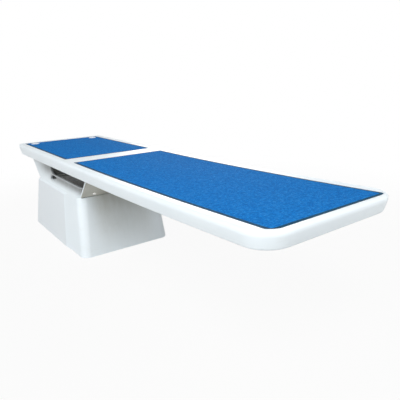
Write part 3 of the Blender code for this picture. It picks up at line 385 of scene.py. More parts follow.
def tidy_mesh(mesh, flat_angle):
    """Joins points that coincide and makes flat faces whole again."""
    form = bmesh.new()
    form.from_mesh(mesh)
    bmesh.ops.remove_doubles(form, verts=form.verts, dist=MERGE)
    bmesh.ops.dissolve_degenerate(form, edges=form.edges, dist=MERGE)
    if flat_angle:
        angle = math.radians(flat_angle)
        bmesh.ops.dissolve_limit(
            form, angle_limit=angle, verts=form.verts, edges=form.edges, delimit={"MATERIAL"}
        )
    form.to_mesh(mesh)
    form.free()


def dress(item, node, ease=0.0, segments=2, flat_angle=0.05, finishes=()):
    """Finishes, eases and shades a piece, and lets it stand for a CAD node, whose finish is the rule."""
    mesh = item.data
    tidy_mesh(mesh, flat_angle)
    finishes = finishes or [finish_of(node)]
    chosen = [min(polygon.material_index, len(finishes) - 1) for polygon in mesh.polygons]
    mesh.materials.clear()
    for made in finishes:
        mesh.materials.append(made)
    mesh.polygons.foreach_set("material_index", chosen)
    mesh.shade_smooth()
    mesh.set_sharp_from_angle(angle=SHARP_ANGLE)
    if ease:
        bevel = item.modifiers.new("eased", "BEVEL")
        bevel.limit_method = "ANGLE"
        bevel.angle_limit = SHARP_ANGLE
        bevel.width = ease
        bevel.segments = segments
        bevel.use_clamp_overlap = True
        bevel.miter_outer = "MITER_ARC"
        weighted = item.modifiers.new("weighted", "WEIGHTED_NORMAL")
        weighted.keep_sharp = True
        weighted.weight = 60
    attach(item, "root")
    if node:
        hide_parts(node)


def quarter_turn(steps):
    """The cosine and sine at even steps through a quarter turn, both ends included."""
    turns = [math.pi / 2 * k / steps for k in range(steps + 1)]
    return [(math.cos(turn), math.sin(turn)) for turn in turns]


def plan_loop(rear, front, half, rear_radius, front_radius, steps=1):
    """A rounded rectangle seen from above, anticlockwise from its right rear corner."""
    arc = quarter_turn(ARC_STEPS)
    start = rear + rear_radius
    end = front - front_radius
    right = [(rear + rear_radius * (1 - c), -half + rear_radius * (1 - s)) for c, s in arc]
    right += [(mix(start, end, k / steps), -half) for k in range(1, steps)]
    right += [(end + front_radius * s, -half + front_radius * (1 - c)) for c, s in arc]
    return right + [(x, -y) for x, y in reversed(right)]


def sides_of(loops, count, closed):
    """Quads between neighbouring loops, and from the last to the first where the stack closes on itself."""
    faces = []
    total = len(loops)
    for k in range(total if closed else total - 1):
        low = k * count
        high = (k + 1) % total * count
        for i in range(count):
            following = (i + 1) % count
            faces.append((low + i, low + following, high + following, high + i))
    return faces


def joined(loops):
    return [point for loop in loops for point in loop]


def flipped(faces):
    return [tuple(reversed(face)) for face in faces]


def stack(name, loops):
    """A solid from loops of plan_loop's kind, lowest first, with its two ends closed by strips across."""
    count = len(loops[0])
    faces = sides_of(loops, count, closed=False)
    top = (len(loops) - 1) * count
    for i in range(count // 2 - 1):
        faces.append((i + 1, i, count - 1 - i, count - 2 - i))
        faces.append((top + i, top + i + 1, top + count - 2 - i, top + count - 1 - i))
    return add_object(name, joined(loops), faces)


def ring(name, loops, second=None):
    """A hollow solid whose section closes on itself, with a second finish from side number second on."""
    count = len(loops[0])
    item = add_object(name, joined(loops), sides_of(loops, count, closed=True))
    item.data.materials.append(None)
    item.data.materials.append(None)
    if second is not None:
        for polygon in item.data.polygons:
            polygon.material_index = int(polygon.index // count >= second)
    return item


def prism_y(name, profile, half_width):
    """A solid of a profile of (x, z) points, anticlockwise seen from -Y, extruded across the board."""
    count = len(profile)
    vertices = [(x, -half_width, z) for x, z in profile]
    vertices += [(x, half_width, z) for x, z in profile]
    faces = [tuple(range(count)), tuple(reversed(range(count, 2 * count)))]
    for i in range(count):
        following = (i + 1) % count
        faces.append((following, i, count + i, count + following))
    return add_object(name, vertices, faces)


def rounded_corner(before, corner, after, radius, steps):
    """The arc that rounds off a corner between its two neighbours, as points in the same order."""
    corner = Vector(corner)
    back = (Vector(before) - corner).normalized()
    ahead = (Vector(after) - corner).normalized()
    half_angle = back.angle(ahead) / 2
    reach = radius / math.tan(half_angle)
    centre = corner + (back + ahead).normalized() * (radius / math.sin(half_angle))
    first = (corner + back * reach - centre).normalized()
    last = (corner + ahead * reach - centre).normalized()
    return [centre + first.slerp(last, k / steps) * radius for k in range(steps + 1)]


def eased_line(points):
    """A line through (x, y, radius, steps) points, rounded off at each one that has a radius."""
    line = []
    for k, (x, y, radius, steps) in enumerate(points):
        if radius:
            before = points[k - 1][:2]
            after = points[k + 1][:2]
            line += [(p.x, p.y) for p in rounded_corner(before, (x, y), after, radius, steps)]
        else:
            line.append((x, y))
    return line


# Turned pieces


def hexagon_reach(radius, turn):
    """How far a hexagon whose corners lie on the radius reaches at a turn."""
    from_flat = turn % (math.pi / 3) - math.pi / 6
    return radius * math.cos(math.pi / 6) / math.cos(from_flat)


def turned(name, rows, place=(0, 0, 0), tilt=0.0, steps=ROUND_STEPS, hole=False):
    """A solid turned about Z and then tilted about Y.

    Its rows are (reach, z), where the reach is a number or a function of the turn.
    """
    spin = Matrix.Translation(place) @ Matrix.Rotation(tilt, 4, "Y")
    loops = []
    for reach, z in rows:
        loop = []
        for k in range(steps):
            turn = 2 * math.pi * k / steps
            radius = reach(turn) if callable(reach) else reach
            loop.append(spin @ Vector((radius * math.cos(turn), radius * math.sin(turn), z)))
        loops.append(loop)
    faces = sides_of(loops, steps, closed=hole)
    if not hole:
        faces.append(tuple(reversed(range(steps))))
        faces.append(tuple(range((len(loops) - 1) * steps, len(loops) * steps)))
    return add_object(name, joined(loops), faces)


def hole_cutter(name, x, y, radius, low, high):
    """A round cutter that runs past the heights low and high."""
    return turned(name, [(radius, low - CUT_OVERRUN), (radius, high + CUT_OVERRUN)], (x, y, 0))


def rear_bolt_cutters(radius, low, high):
    """A round cutter on the axis of each rear mounting bolt."""
    rows = [(REAR_BOLT_X, sign * REAR_BOLT_Y, radius, low, high) for side, sign in SIDES]
    return [hole_cutter("cut_rear_bolt", *row) for row in rows]


def make_turned(node, rows, place, tilt=0.0, steps=HEX_STEPS, hole=False):
    """A turned piece that stands for a CAD node."""
    dress(turned("fine_" + node, rows, place, tilt, steps, hole), node, flat_angle=0)


def thread(low, high, radius, pitch, end_taper=True):
    """Rows of a threaded shank, lowest first, whose crest winds up once in every pitch."""
    depth_of_thread = pitch * THREAD_DEPTH_SHARE
    rows = []
    count = max(int((high - low) / pitch * THREAD_ROWS_PER_PITCH), 2)
    for k in range(count + 1):
        z = mix(low, high, k / count)
        fade = min(1.0, (z - low) / pitch) if end_taper else 1.0

        def reach(turn, z=z, fade=fade):
            phase = (z / pitch - turn / (2 * math.pi)) % 1.0
            from_crest = abs(2 * phase - 1)
            cut = depth_of_thread * min(1.0, max(0.0, THREAD_FLANK * from_crest - THREAD_CREST))
            return radius - cut * fade - (1 - fade) * depth_of_thread

        rows.append((reach, z))
    return rows


def hex_rows(radius, low, high, chamfer_low):
    """Rows of a hexagon between two heights, its corners turned off at the top, and below where asked."""
    flat = radius * math.cos(math.pi / 6)
    drop = (radius - flat) * math.tan(HEX_CHAMFER)

    def capped(share):
        limit = mix(flat, radius, share)
        return lambda turn: min(hexagon_reach(radius, turn), limit)

    shares = [k / HEX_CHAMFER_STEPS for k in range(HEX_CHAMFER_STEPS + 1)]
    rows = [(capped(1.0), low)]
    if chamfer_low:
        rows = [(flat * HEX_FACE_SHARE, low)]
        rows += [(capped(share), low + drop * share + HEX_FACE_EASE) for share in shares]
    rows += [(capped(share), high - drop * share - HEX_FACE_EASE) for share in reversed(shares)]
    return rows + [(flat * HEX_FACE_SHARE, high)]


# Materials


class Graph:
    """A material's node tree, with short ways to add nodes and join them."""

    def __init__(self, name):
        self.material = bpy.data.materials.new(name)
        self.material.use_nodes = True
        self.tree = self.material.node_tree
        self.shader = self.tree.nodes["Principled BSDF"]
        coordinates = self.tree.nodes.new("ShaderNodeTexCoord")
        self.place = coordinates.outputs["Object"]

    def add(self, kind, inputs=None, **settings):
        node = self.tree.nodes.new(kind)
        for key, value in settings.items():
            setattr(node, key, value)
        for key, value in (inputs or {}).items():
            self.feed(node, key, value)
        return node

    def feed(self, node, key, value):
        if isinstance(value, bpy.types.NodeSocket):
            self.tree.links.new(value, node.inputs[key])
        else:
            node.inputs[key].default_value = value

    def stretched(self, scale):
        return self.add("ShaderNodeMapping", {"Vector": self.place, "Scale": scale}).outputs["Vector"]

    def noise(self, scale, detail=4.0, roughness=0.5, vector=None):
        inputs = {"Vector": vector or self.place, "Scale": scale, "Detail": detail, "Roughness": roughness}
        return self.add("ShaderNodeTexNoise", inputs).outputs["Fac"]

    def cells(self, scale, output="Color"):
        return self.add("ShaderNodeTexVoronoi", {"Vector": self.place, "Scale": scale}).outputs[output]

    def grey_cells(self, scale):
        return self.add("ShaderNodeRGBToBW", {"Color": self.cells(scale)}).outputs["Val"]

    def axis(self, name):
        return self.add("ShaderNodeSeparateXYZ", {"Vector": self.place}).outputs[name]

    def from_middle(self):
        """The distance from the upright plane that the board's centreline lies in."""
        return self.math("ABSOLUTE", self.axis("Y"))

    def ramp(self, value, stops):
        """A colour ramp through (position, colour or grey level) stops."""
        node = self.add("ShaderNodeValToRGB", {"Fac": value})
        elements = node.color_ramp.elements
        while len(elements) < len(stops):
            elements.new(0.5)
        for element, (position, color) in zip(elements, stops):
            element.position = position
            element.color = (*color, 1.0) if isinstance(color, tuple) else (color, color, color, 1.0)
        return node.outputs["Color"]

    def between(self, value, low, high):
        """0 at low, 1 at high, and a smooth step between."""
        inputs = {"Value": value, "From Min": low, "From Max": high}
        return self.add("ShaderNodeMapRange", inputs, interpolation_type="SMOOTHSTEP").outputs["Result"]

    def mixed(self, share, a, b):
        """The colour a given share of the way from the colour socket a to the fixed colour b."""
        node = self.add("ShaderNodeMix", data_type="RGBA")
        for index, value in ((0, share), (6, a), (7, (*b, 1.0))):
            self.feed(node, index, value)
        return node.outputs[2]

    def math(self, operation, a, b=0.0):
        return self.add("ShaderNodeMath", {0: a, 1: b}, operation=operation).outputs[0]

    def times(self, a, b):
        return self.math("MULTIPLY", a, b)

    def plus(self, a, b):
        return self.math("ADD", a, b)

    def bump(self, height, distance, strength, below=None):
        inputs = {"Height": height, "Distance": distance, "Strength": strength}
        if below is not None:
            inputs["Normal"] = below
        return self.add("ShaderNodeBump", inputs).outputs["Normal"]

    def set(self, **sockets):
        for key, value in sockets.items():
            self.feed(self.shader, key.replace("_", " "), value)
        return self.material


def white_gelcoat_graph(name):
    """White gelcoat outdoors: faint cloudy patches, fine scuffs along the piece and some orange peel."""
    g = Graph(name)
    patches = g.noise(2.2, 4.0, 0.6)
    color = g.ramp(patches, [(0.30, (0.762, 0.836, 0.882)), (0.70, (0.810, 0.876, 0.916))])
    soil = g.noise(1.0, 5.0, 0.65, g.stretched((9.0, 9.0, 26.0)))
    color = g.mixed(g.times(g.between(soil, 0.56, 0.80), 0.16), color, (0.62, 0.64, 0.60))
    scuffs = g.noise(1.0, 6.0, 0.7, g.stretched((35.0, 150.0, 150.0)))
    rough = g.ramp(scuffs, [(0.35, 0.34), (0.75, 0.46)])
    waves = g.bump(g.noise(7.0, 1.0), 0.0006, 0.25)
    peel = g.bump(g.noise(380.0, 2.0), 0.00004, 0.35, waves)
    g.set(Base_Color=color, Roughness=rough, Normal=peel, Specular_IOR_Level=0.38)
    return g, color


def gelcoat():
    return white_gelcoat_graph("gelcoat")[0].material


def pedestal_gelcoat():
    """The pedestal's gelcoat, with painted shade under the board, in the cove, on the front face and on the
    band.
    """
    g, color = white_gelcoat_graph("gelcoat_pedestal_with_painted_shade")
    height = g.axis("Z")
    along = g.axis("X")
    # Painted shade: the gelcoat mixed towards dark grey under the board, in the cove below the lip and along
    # the arm's top edge, uneven with streaks
    under_board = g.times(g.between(height, *BOARD_PAINTED_SHADE_HEIGHTS), g.between(along, *BOARD_PAINTED_SHADE_ALONG))
    up_to_lip = g.math("SUBTRACT", 1.0, g.between(height, *LIP_HEIGHTS))
    in_cove = g.times(g.between(height, *COVE_PAINTED_SHADE_HEIGHTS), g.between(along, *COVE_PAINTED_SHADE_ALONG))
    in_cove = g.times(in_cove, up_to_lip)
    under_edge = g.times(g.between(height, *EDGE_PAINTED_SHADE_HEIGHTS), 0.62)
    streaks = g.noise(1.0, 4.0, 0.6, g.stretched((60.0, 60.0, 14.0)))
    patchy = g.plus(g.times(streaks, 0.45), 0.66)
    painted_shade = g.math("MAXIMUM", g.math("MAXIMUM", under_board, in_cove), under_edge)
    color = g.mixed(g.times(painted_shade, patchy), color, (0.17, 0.18, 0.18))
    # Painted shadow of the board on the front face, stronger up by the plate, mixed towards a warm dark grey
    up_front = g.times(g.between(height, *FRONT_PAINTED_SHADE_HEIGHTS), g.between(along, *FRONT_PAINTED_SHADE_ALONG))
    on_front = g.times(up_front, g.between(g.from_middle(), *FRONT_PAINTED_SHADE_ACROSS))
    by_plate = g.times(g.between(height, *PLATE_PAINTED_SHADE_HEIGHTS), 0.26)
    on_front = g.times(on_front, g.times(patchy, g.plus(by_plate, 0.36)))
    color = g.mixed(on_front, color, (0.30, 0.28, 0.21))
    # Painted shade: the band's side made greyer than the bevels in front of it and along its top
    crease = g.plus(g.times(height, BAND_LEAN), FOOT_FRONT - BAND_FROM_FRONT_FOOT)
    behind_crease = g.between(g.math("SUBTRACT", along, crease), CREASE_BLUR, -CREASE_BLUR)
    below_bevel = g.between(height, BAND_FLAT_TOP + CREASE_BLUR, BAND_FLAT_TOP - CREASE_BLUR)
    on_band = g.times(behind_crease, below_bevel)
    return g.set(Base_Color=g.mixed(g.times(on_band, 0.42), color, (0.66, 0.69, 0.72)))


def shaded_gelcoat():
    """The plate's gelcoat, painted grey as shade, and darkest at its middle, where it stands under the board.
    """
    g = Graph("gelcoat_plate_painted_shade")
    patches = g.noise(9.0, 5.0, 0.6)
    color = g.ramp(patches, [(0.30, (0.60, 0.60, 0.54)), (0.70, (0.68, 0.68, 0.63))])
    painted_shade = g.between(g.from_middle(), *PLATE_PAINTED_SHADE_ACROSS)
    color = g.mixed(g.times(painted_shade, 0.62), color, (0.36, 0.34, 0.29))
    normal = g.bump(g.noise(160.0, 3.0), 0.00012, 0.5)
    return g.set(Base_Color=color, Roughness=0.52, Normal=normal, Specular_IOR_Level=0.3)


def laminate(name, darkest, palest):
    """Raw glass laminate: chopped strands under resin, mottled between two greys."""
    g = Graph(name)
    mottle = g.noise(75.0, 6.0, 0.7)
    levels = [mix(darkest, palest, share) for share in (0.0, 0.45, 0.75, 1.0)]
    stops = [(level, level * 1.01, level * 0.98) for level in levels]
    color = g.ramp(mottle, list(zip((0.28, 0.46, 0.60, 0.76), stops)))
    strands = g.noise(1.0, 3.0, 0.6, g.stretched((70.0, 520.0, 520.0)))
    crossed = g.noise(1.0, 3.0, 0.6, g.stretched((520.0, 70.0, 520.0)))
    both = g.math("MAXIMUM", strands, crossed)
    color = g.mixed(g.times(g.between(both, 0.52, 0.74), 0.35), color, (0.78, 0.78, 0.75))
    normal = g.bump(both, 0.0007, 0.7, g.bump(mottle, 0.0016, 0.6))
    return g.set(Base_Color=color, Roughness=0.62, Normal=normal, Specular_IOR_Level=0.35)


def grit():
    """Blue grit sheet: coarse and fine grains over faint worn patches."""
    g = Graph("grit")
    coarse = g.grey_cells(GRIT_COARSE)
    fine = g.grey_cells(GRIT_FINE)
    clumps = g.noise(95.0, 3.0, 0.6)
    patches = g.noise(3.2, 4.0, 0.6)
    level = g.plus(g.times(coarse, 0.44), g.times(fine, 0.20))
    level = g.plus(level, g.times(clumps, 0.36))
    color = g.ramp(
        level,
        [
            (0.22, (0.003, 0.090, 0.360)),
            (0.42, (0.005, 0.148, 0.505)),
            (0.58, (0.007, 0.195, 0.595)),
            (0.74, (0.022, 0.285, 0.715)),
            (0.88, (0.090, 0.415, 0.820)),
        ],
    )
    color = g.mixed(g.times(g.between(patches, 0.42, 0.68), 0.12), color, (0.022, 0.205, 0.530))
    flecks = g.grey_cells(170.0)
    color = g.mixed(g.times(g.between(flecks, 0.60, 0.80), 0.38), color, (0.030, 0.255, 0.620))
    color = g.mixed(g.times(g.between(flecks, 0.36, 0.20), 0.40), color, (0.005, 0.105, 0.370))
    grains = g.cells(GRIT_COARSE, "Distance")
    height = g.plus(grains, g.times(g.cells(GRIT_FINE, "Distance"), 0.4))
    normal = g.bump(height, 0.0007, 0.8, g.bump(clumps, 0.0012, 0.3))
    return g.set(Base_Color=color, Roughness=0.92, Normal=normal, Specular_IOR_Level=0.04)


def grit_margin():
    """The pressed margin of a tread, darker than its grit."""
    g = Graph("grit_margin")
    stops = [(0.35, (0.005, 0.042, 0.085)), (0.62, (0.008, 0.066, 0.125)), (0.80, (0.030, 0.100, 0.165))]
    color = g.ramp(g.noise(70.0, 5.0, 0.65), stops)
    normal = g.bump(g.noise(650.0, 3.0), 0.0003, 0.6)
    return g.set(Base_Color=color, Roughness=0.72, Normal=normal, Specular_IOR_Level=0.12)


def timber():
    g = Graph("timber")
    grain = g.noise(1.0, 5.0, 0.6, g.stretched((5.0, 90.0, 90.0)))
    stops = [(0.3, (0.34, 0.19, 0.09)), (0.55, (0.52, 0.34, 0.17)), (0.75, (0.62, 0.44, 0.25))]
    return g.set(Base_Color=g.ramp(grain, stops), Roughness=0.65, Normal=g.bump(grain, 0.0005, 0.4))


def rubber():
    g = Graph("rubber")
    dust = g.noise(60.0, 5.0, 0.6)
    color = g.ramp(dust, [(0.4, (0.018, 0.018, 0.018)), (0.8, (0.05, 0.05, 0.048))])
    return g.set(Base_Color=color, Roughness=0.8, Normal=g.bump(g.noise(700.0), 0.0002, 0.4))


def stainless():
    """Rolled stainless steel with faint water stains."""
    g = Graph("stainless")
    lines = g.noise(1.0, 4.0, 0.6, g.stretched((900.0, 12.0, 900.0)))
    stains = g.noise(60.0, 4.0, 0.6)
    color = g.ramp(stains, [(0.35, (0.74, 0.74, 0.71)), (0.7, (0.88, 0.88, 0.86))])
    rough = g.ramp(lines, [(0.3, 0.26), (0.7, 0.42)])
    return g.set(Base_Color=color, Metallic=1.0, Roughness=rough, Normal=g.bump(lines, 0.00005, 0.3))


def galvanised():
    """Hot dip zinc: flat spangles of differing grey, dulled with white bloom."""
    g = Graph("galvanised")
    spangle = g.grey_cells(110.0)
    bloom = g.noise(18.0, 5.0, 0.6)
    color = g.ramp(spangle, [(0.0, (0.62, 0.63, 0.64)), (1.0, (0.80, 0.81, 0.81))])
    color = g.mixed(g.times(g.between(bloom, 0.52, 0.76), 0.5), color, (0.86, 0.87, 0.86))
    rough = g.ramp(spangle, [(0.0, 0.40), (1.0, 0.60)])
    normal = g.bump(g.noise(300.0), 0.0001, 0.3)
    return g.set(Base_Color=color, Metallic=0.2, Roughness=rough, Normal=normal)


def deck_floor():
    """A pale deck, for the light that it throws back, seen white but for the shadow near the object."""
    g = Graph("floor")
    g.set(Base_Color=FLOOR_COLOR, Roughness=0.9, Specular_IOR_Level=0.0)
    path = g.add("ShaderNodeLightPath")
    glow = g.add("ShaderNodeEmission", {"Color": (1.0, 1.0, 1.0, 1.0), "Strength": 1.0})
    from_object = g.add("ShaderNodeVectorMath", {0: g.place}, operation="LENGTH").outputs["Value"]
    far = g.between(from_object, *FLOOR_SHADOW_REACH)
    whiteness = g.plus(g.times(far, 1.0 - FLOOR_WHITE_NEAR), FLOOR_WHITE_NEAR)
    seen = g.math("MAXIMUM", path.outputs["Is Camera Ray"], path.outputs["Is Glossy Ray"])
    blend = g.add("ShaderNodeMixShader", {"Fac": g.times(seen, whiteness)})
    clear = g.add("ShaderNodeBsdfTransparent")
    from_below = g.add("ShaderNodeMixShader", {"Fac": g.add("ShaderNodeNewGeometry").outputs["Backfacing"]})
    for source, target in (
        (g.shader.outputs["BSDF"], blend.inputs[1]),
        (glow.outputs["Emission"], blend.inputs[2]),
        (blend.outputs["Shader"], from_below.inputs[1]),
        (clear.outputs["BSDF"], from_below.inputs[2]),
        (from_below.outputs["Shader"], g.tree.nodes["Material Output"].inputs["Surface"]),
    ):
        g.tree.links.new(source, target)
    return g.material


finish = {
    "white_gelcoat": gelcoat(),
    "raw_laminate": laminate("laminate", 0.44, 0.66),
    "blue_grit": grit(),
    "timber": timber(),
    "black_rubber": rubber(),
    "stainless_steel": stainless(),
    "galvanised_steel": galvanised(),
}
margin_finish = grit_margin()
plate_painted_shade_finish = shaded_gelcoat()
pedestal_finish_with_painted_shade = pedestal_gelcoat()
# A paler copy of the raw laminate for the pedestal's inner faces: painted light, as the lamps hardly reach
# the hollow
inside_laminate_painted_light = laminate("laminate_inside_painted_light", 0.64, 0.94)


def finish_of(node):
    return finish[slot_of[node]]


# Board


def board_loop(inset, height_at):
    """The board's outline, drawn in by inset, at the height that height_at gives for each x."""
    plan = plan_loop(
        BOARD_REAR + inset,
        BOARD_FRONT - inset,
        BOARD_WIDTH / 2 - inset,
        max(REAR_CORNER_RADIUS - inset, LEAST_RADIUS),
        max(FRONT_CORNER_RADIUS - inset, LEAST_RADIUS),
        BOARD_STEPS,
    )
    return [(x, y, height_at(x)) for x, y in plan]


def board_section():
    """The rim's section as (inset, height function) rows, from the underside round to the tread level."""
    middle = (DEPTH_REAR + DEPTH_FRONT) / 2
    crest = middle + RIM_CREST
    side_top = crest - RIM_ROUND_HEIGHT
    draft = SIDE_DRAFT / (side_top - BOTTOM_EDGE_RADIUS)
    corner = SIDE_DRAFT + BOTTOM_EDGE_RADIUS * draft
    points = [
        (RIM_INNER, 0.0, 0, 0),
        (corner, 0.0, BOTTOM_EDGE_RADIUS, 7),
        (0.0, side_top, SIDE_TOP_RADIUS, 5),
    ]
    # The eased top of the side takes the place of the quarter's first steps
    for c, s in quarter_turn(12)[3:-1]:
        points.append((RIM_ROUND_WIDTH * (1 - c), crest - RIM_ROUND_HEIGHT * (1 - s), 0, 0))
    points.append((RIM_ROUND_WIDTH, crest, RIM_CREST_RADIUS, 4))
    points.append((RIM_ROUND_WIDTH + RIM_FALL_WIDTH, middle, RIM_FALL_RADIUS, 3))
    points.append((RIM_INNER, middle, 0, 0))
    rows = []
    for inset, height in eased_line(points)[1:-1]:
        if height < middle / 2:
            rows.append((inset, lambda x, lift=height: underside(x, lift)))
        else:
            rows.append((inset, lambda x, lift=height - middle: tread_level(x, lift)))
    return rows


def field_loop(rear, front, rear_radius, front_radius, inset, lift):
    """A tread field's outline, drawn in by inset, at a lift over the board's sweeping tread level."""
    plan = plan_loop(
        rear + inset,
        front - inset,
        TREAD_HALF - inset,
        max(rear_radius - inset, TREAD_LEAST_RADIUS),
        max(front_radius - inset, TREAD_LEAST_RADIUS),
        BOARD_STEPS,
    )
    return [(x, y, tread_level(x, lift)) for x, y in plan]


def make_board_shell():
    """The board's moulding, hollow from below, with pockets for the treads and holes for the caps."""
    shell = stack("fine_board_shell", [board_loop(inset, height) for inset, height in board_section()])
    inset = SIDE_DRAFT + BOARD_WALL
    cavity = [
        board_loop(inset, lambda x: underside(x, -CUT_OVERRUN)),
        board_loop(inset, lambda x: tread_level(x, -TREAD_POCKET - BOARD_SKIN)),
    ]
    rows = [(0.0, -TREAD_POCKET)]
    rows += [(POCKET_EASE * (1 - c), POCKET_EASE * (s - 1)) for c, s in quarter_turn(4)]
    rows.append((POCKET_EASE, CUT_OVERRUN))
    cutters = [stack("cut_cavity", cavity)]
    for node, *field in TREAD_FIELDS:
        cutters.append(stack("cut_" + node, [field_loop(*field, -grow, lift) for grow, lift in rows]))
    low = tread_level(REAR_BOLT_X, -TREAD_POCKET - BOARD_SKIN)
    cutters += rear_bolt_cutters(CAP_STEM_RADIUS + GAP, low, tread_level(REAR_BOLT_X))
    carve(shell, cutters)
    dress(shell, "board_shell")


def make_treads():
    """Grit sheets with a margin pressed lower and darker all round, the rear one notched for the caps."""
    low = -TREAD_POCKET + GAP
    high = low + TREAD_THICKNESS
    margin_low = high - TREAD_MARGIN_DROP
    margin = [
        (0.0, low),
        (0.0, margin_low - 0.0006),
        (0.0002, margin_low - 0.0002),
        (0.0007, margin_low),
        (TREAD_MARGIN, margin_low),
    ]
    rows = margin + [
        (TREAD_MARGIN + TREAD_MARGIN_SLOPE * 0.5, margin_low + TREAD_MARGIN_DROP * 0.55),
        (TREAD_MARGIN + TREAD_MARGIN_SLOPE, high),
    ]
    for node, *field in TREAD_FIELDS:
        loops = [field_loop(*field, TREAD_EDGE_GAP + inset, lift) for inset, lift in rows]
        tread = stack("fine_" + node, loops)
        tread.data.materials.append(None)
        tread.data.materials.append(None)
        sides = len(loops[0])
        for polygon in tread.data.polygons:
            polygon.material_index = int(polygon.index // sides < len(margin))
        if node == "tread_rear":
            height = tread_level(REAR_BOLT_X)
            carve(tread, rear_bolt_cutters(CAP_RADIUS + CAP_TREAD_CLEARANCE, height, height))
        dress(tread, node, finishes=[finish_of(node), margin_finish])


def make_caps():
    """Round caps with a rolled rim and a crowned top."""
    base = -TREAD_POCKET + 2 * GAP
    stem = -TREAD_POCKET - BOARD_SKIN
    high = base + CAP_RIM_HEIGHT
    rows = [
        (CAP_STEM_RADIUS * 0.96, stem),
        (CAP_STEM_RADIUS - GAP, stem + 0.001),
        (CAP_STEM_RADIUS - GAP, base),
        (CAP_RADIUS - 0.0004, base),
        (CAP_RADIUS, base + 0.0004),
    ]
    for c, s in quarter_turn(6):
        rows.append((CAP_RADIUS - CAP_RIM_ROUND * (1 - c), high - CAP_RIM_ROUND * (1 - s)))
    crown_reach = CAP_RADIUS - CAP_RIM_ROUND
    for share in (0.85, 0.7, 0.5, 0.3, 0.12):
        rows.append((crown_reach * share, high + CAP_CROWN * (1 - share * share)))
    for side, sign in SIDES:
        place = (REAR_BOLT_X, sign * REAR_BOLT_Y, tread_level(REAR_BOLT_X))
        make_turned("cap_" + side, rows, place, steps=ROUND_STEPS)


def make_board_base():
    inset = SIDE_DRAFT + BOARD_WALL + GAP
    base = stack(
        "fine_board_base",
        [board_loop(inset, underside), board_loop(inset, lambda x: underside(x, BASE_THICKNESS))],
    )
    cutters = []
    for side, y in PLATE_PLACES:
        low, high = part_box("board_screw_" + side)
        middle = (low + high) / 2
        cutters.append(hole_cutter("cut_screw", middle.x, middle.y, SMALL_BOLT_RADIUS + GAP, low.z, high.z))
    low = underside(REAR_BOLT_X)
    cutters += rear_bolt_cutters(REAR_BOLT_RADIUS + GAP, low, low + BASE_THICKNESS)
    carve(base, cutters)
    dress(base, "board_base")


# Pedestal


def at_height(foot, top, z):
    """A measure of the box at a height, from what it is at the foot and at the top."""
    return mix(foot, top, z / BOX_HEIGHT)


def box_loop(z, inset):
    """The pedestal box's outline at a height, drawn in by inset."""
    radius = max(at_height(BOX_RADIUS_FOOT, BOX_RADIUS_TOP, z) - inset, LEAST_RADIUS)
    plan = plan_loop(
        at_height(FOOT_REAR, BOX_TOP_REAR, z) + inset,
        at_height(FOOT_FRONT, BOX_TOP_FRONT, z) - inset,
        at_height(FOOT_HALF, BOX_TOP_HALF, z) - inset,
        radius,
        radius,
    )
    return [(x, y, z) for x, y in plan]


def arm_half(z):
    """Half the arm's width over its sides, which lean in a little towards the board."""
    return BOX_TOP_HALF - ARM_SUNK - ARM_NARROWING * max(z - BOX_HEIGHT, 0.0) / ARM_HEIGHT


def arm_loop(z, rear_inset, side_inset):
    """The arm's outline at a height. Its rear flares back, and its front leans forward with the plate."""
    up = max(z - BOX_HEIGHT, 0.0)
    share = up / ARM_HEIGHT
    plan = plan_loop(
        BOX_TOP_REAR + ARM_SUNK - ARM_FLARE * share + rear_inset,
        BOX_TOP_FRONT - ARM_SUNK + up * PLATE_REACH - side_inset,
        arm_half(z) - side_inset,
        max(mix(BOX_RADIUS_TOP, ARM_RADIUS_TOP, share) - rear_inset, ARM_LEAST_RADIUS),
        max(BOX_RADIUS_TOP - side_inset, ARM_LEAST_RADIUS),
    )
    return [(x, y, z) for x, y in plan]


def cheek_front(z):
    """Where the arm's side walls end, over the window."""
    return BOX_TOP_REAR + CHEEK_LENGTH - CHEEK_SLOPE * (z - BOX_HEIGHT)


def behind_plate(z):
    """Where the arm's side walls end, under the window: just behind the front plate's web."""
    setback = (PLATE_THICKNESS / 2 + ARM_PLATE_CLEARANCE) / math.cos(PLATE_LEAN)
    return PLATE_BEND_X + (z - PLATE_FLANGE_Z) * PLATE_REACH - setback


def half_moon(centre_x, centre_z):
    """A half ellipse over a straight edge that rises a little towards the front."""
    tilt_cos = math.cos(HALF_MOON_TILT)
    tilt_sin = math.sin(HALF_MOON_TILT)
    points = []
    for k in range(ROUND_STEPS // 2 + 1):
        turn = 2 * math.pi * k / ROUND_STEPS
        along = HALF_MOON_REACH * math.cos(turn)
        up = HALF_MOON_HEIGHT * math.sin(turn)
        x = centre_x + along * tilt_cos - up * tilt_sin
        points.append((x, centre_z + along * tilt_sin + up * tilt_cos))
    return points


def cove_cutter(name, sign, rear, front):
    """A cutter along X that hollows the outside of the wall between the box top and the lip of the sill."""
    low = BOX_HEIGHT + COVE_ABOVE_BOX
    high = SILL_Z - COVE_LIP
    profile = [(arm_half(low) + CUT_OVERRUN, low)]
    for k in range(ARC_STEPS + 1):
        share = k / ARC_STEPS
        z = mix(low, high, share)
        hollow = 1 - abs(2 * share ** COVE_SKEW - 1) ** 2
        profile.append((arm_half(z) + GAP - (COVE_DEPTH + GAP) * hollow, z))
    profile.append((arm_half(high) + CUT_OVERRUN, high))
    count = len(profile)
    vertices = [(x, sign * y, z) for x in (rear, front) for y, z in profile]
    faces = [tuple(range(count)), tuple(reversed(range(count, 2 * count)))]
    faces += [((i + 1) % count, i, count + i, count + (i + 1) % count) for i in range(count)]
    return add_object(name, vertices, flipped(faces) if sign < 0 else faces)


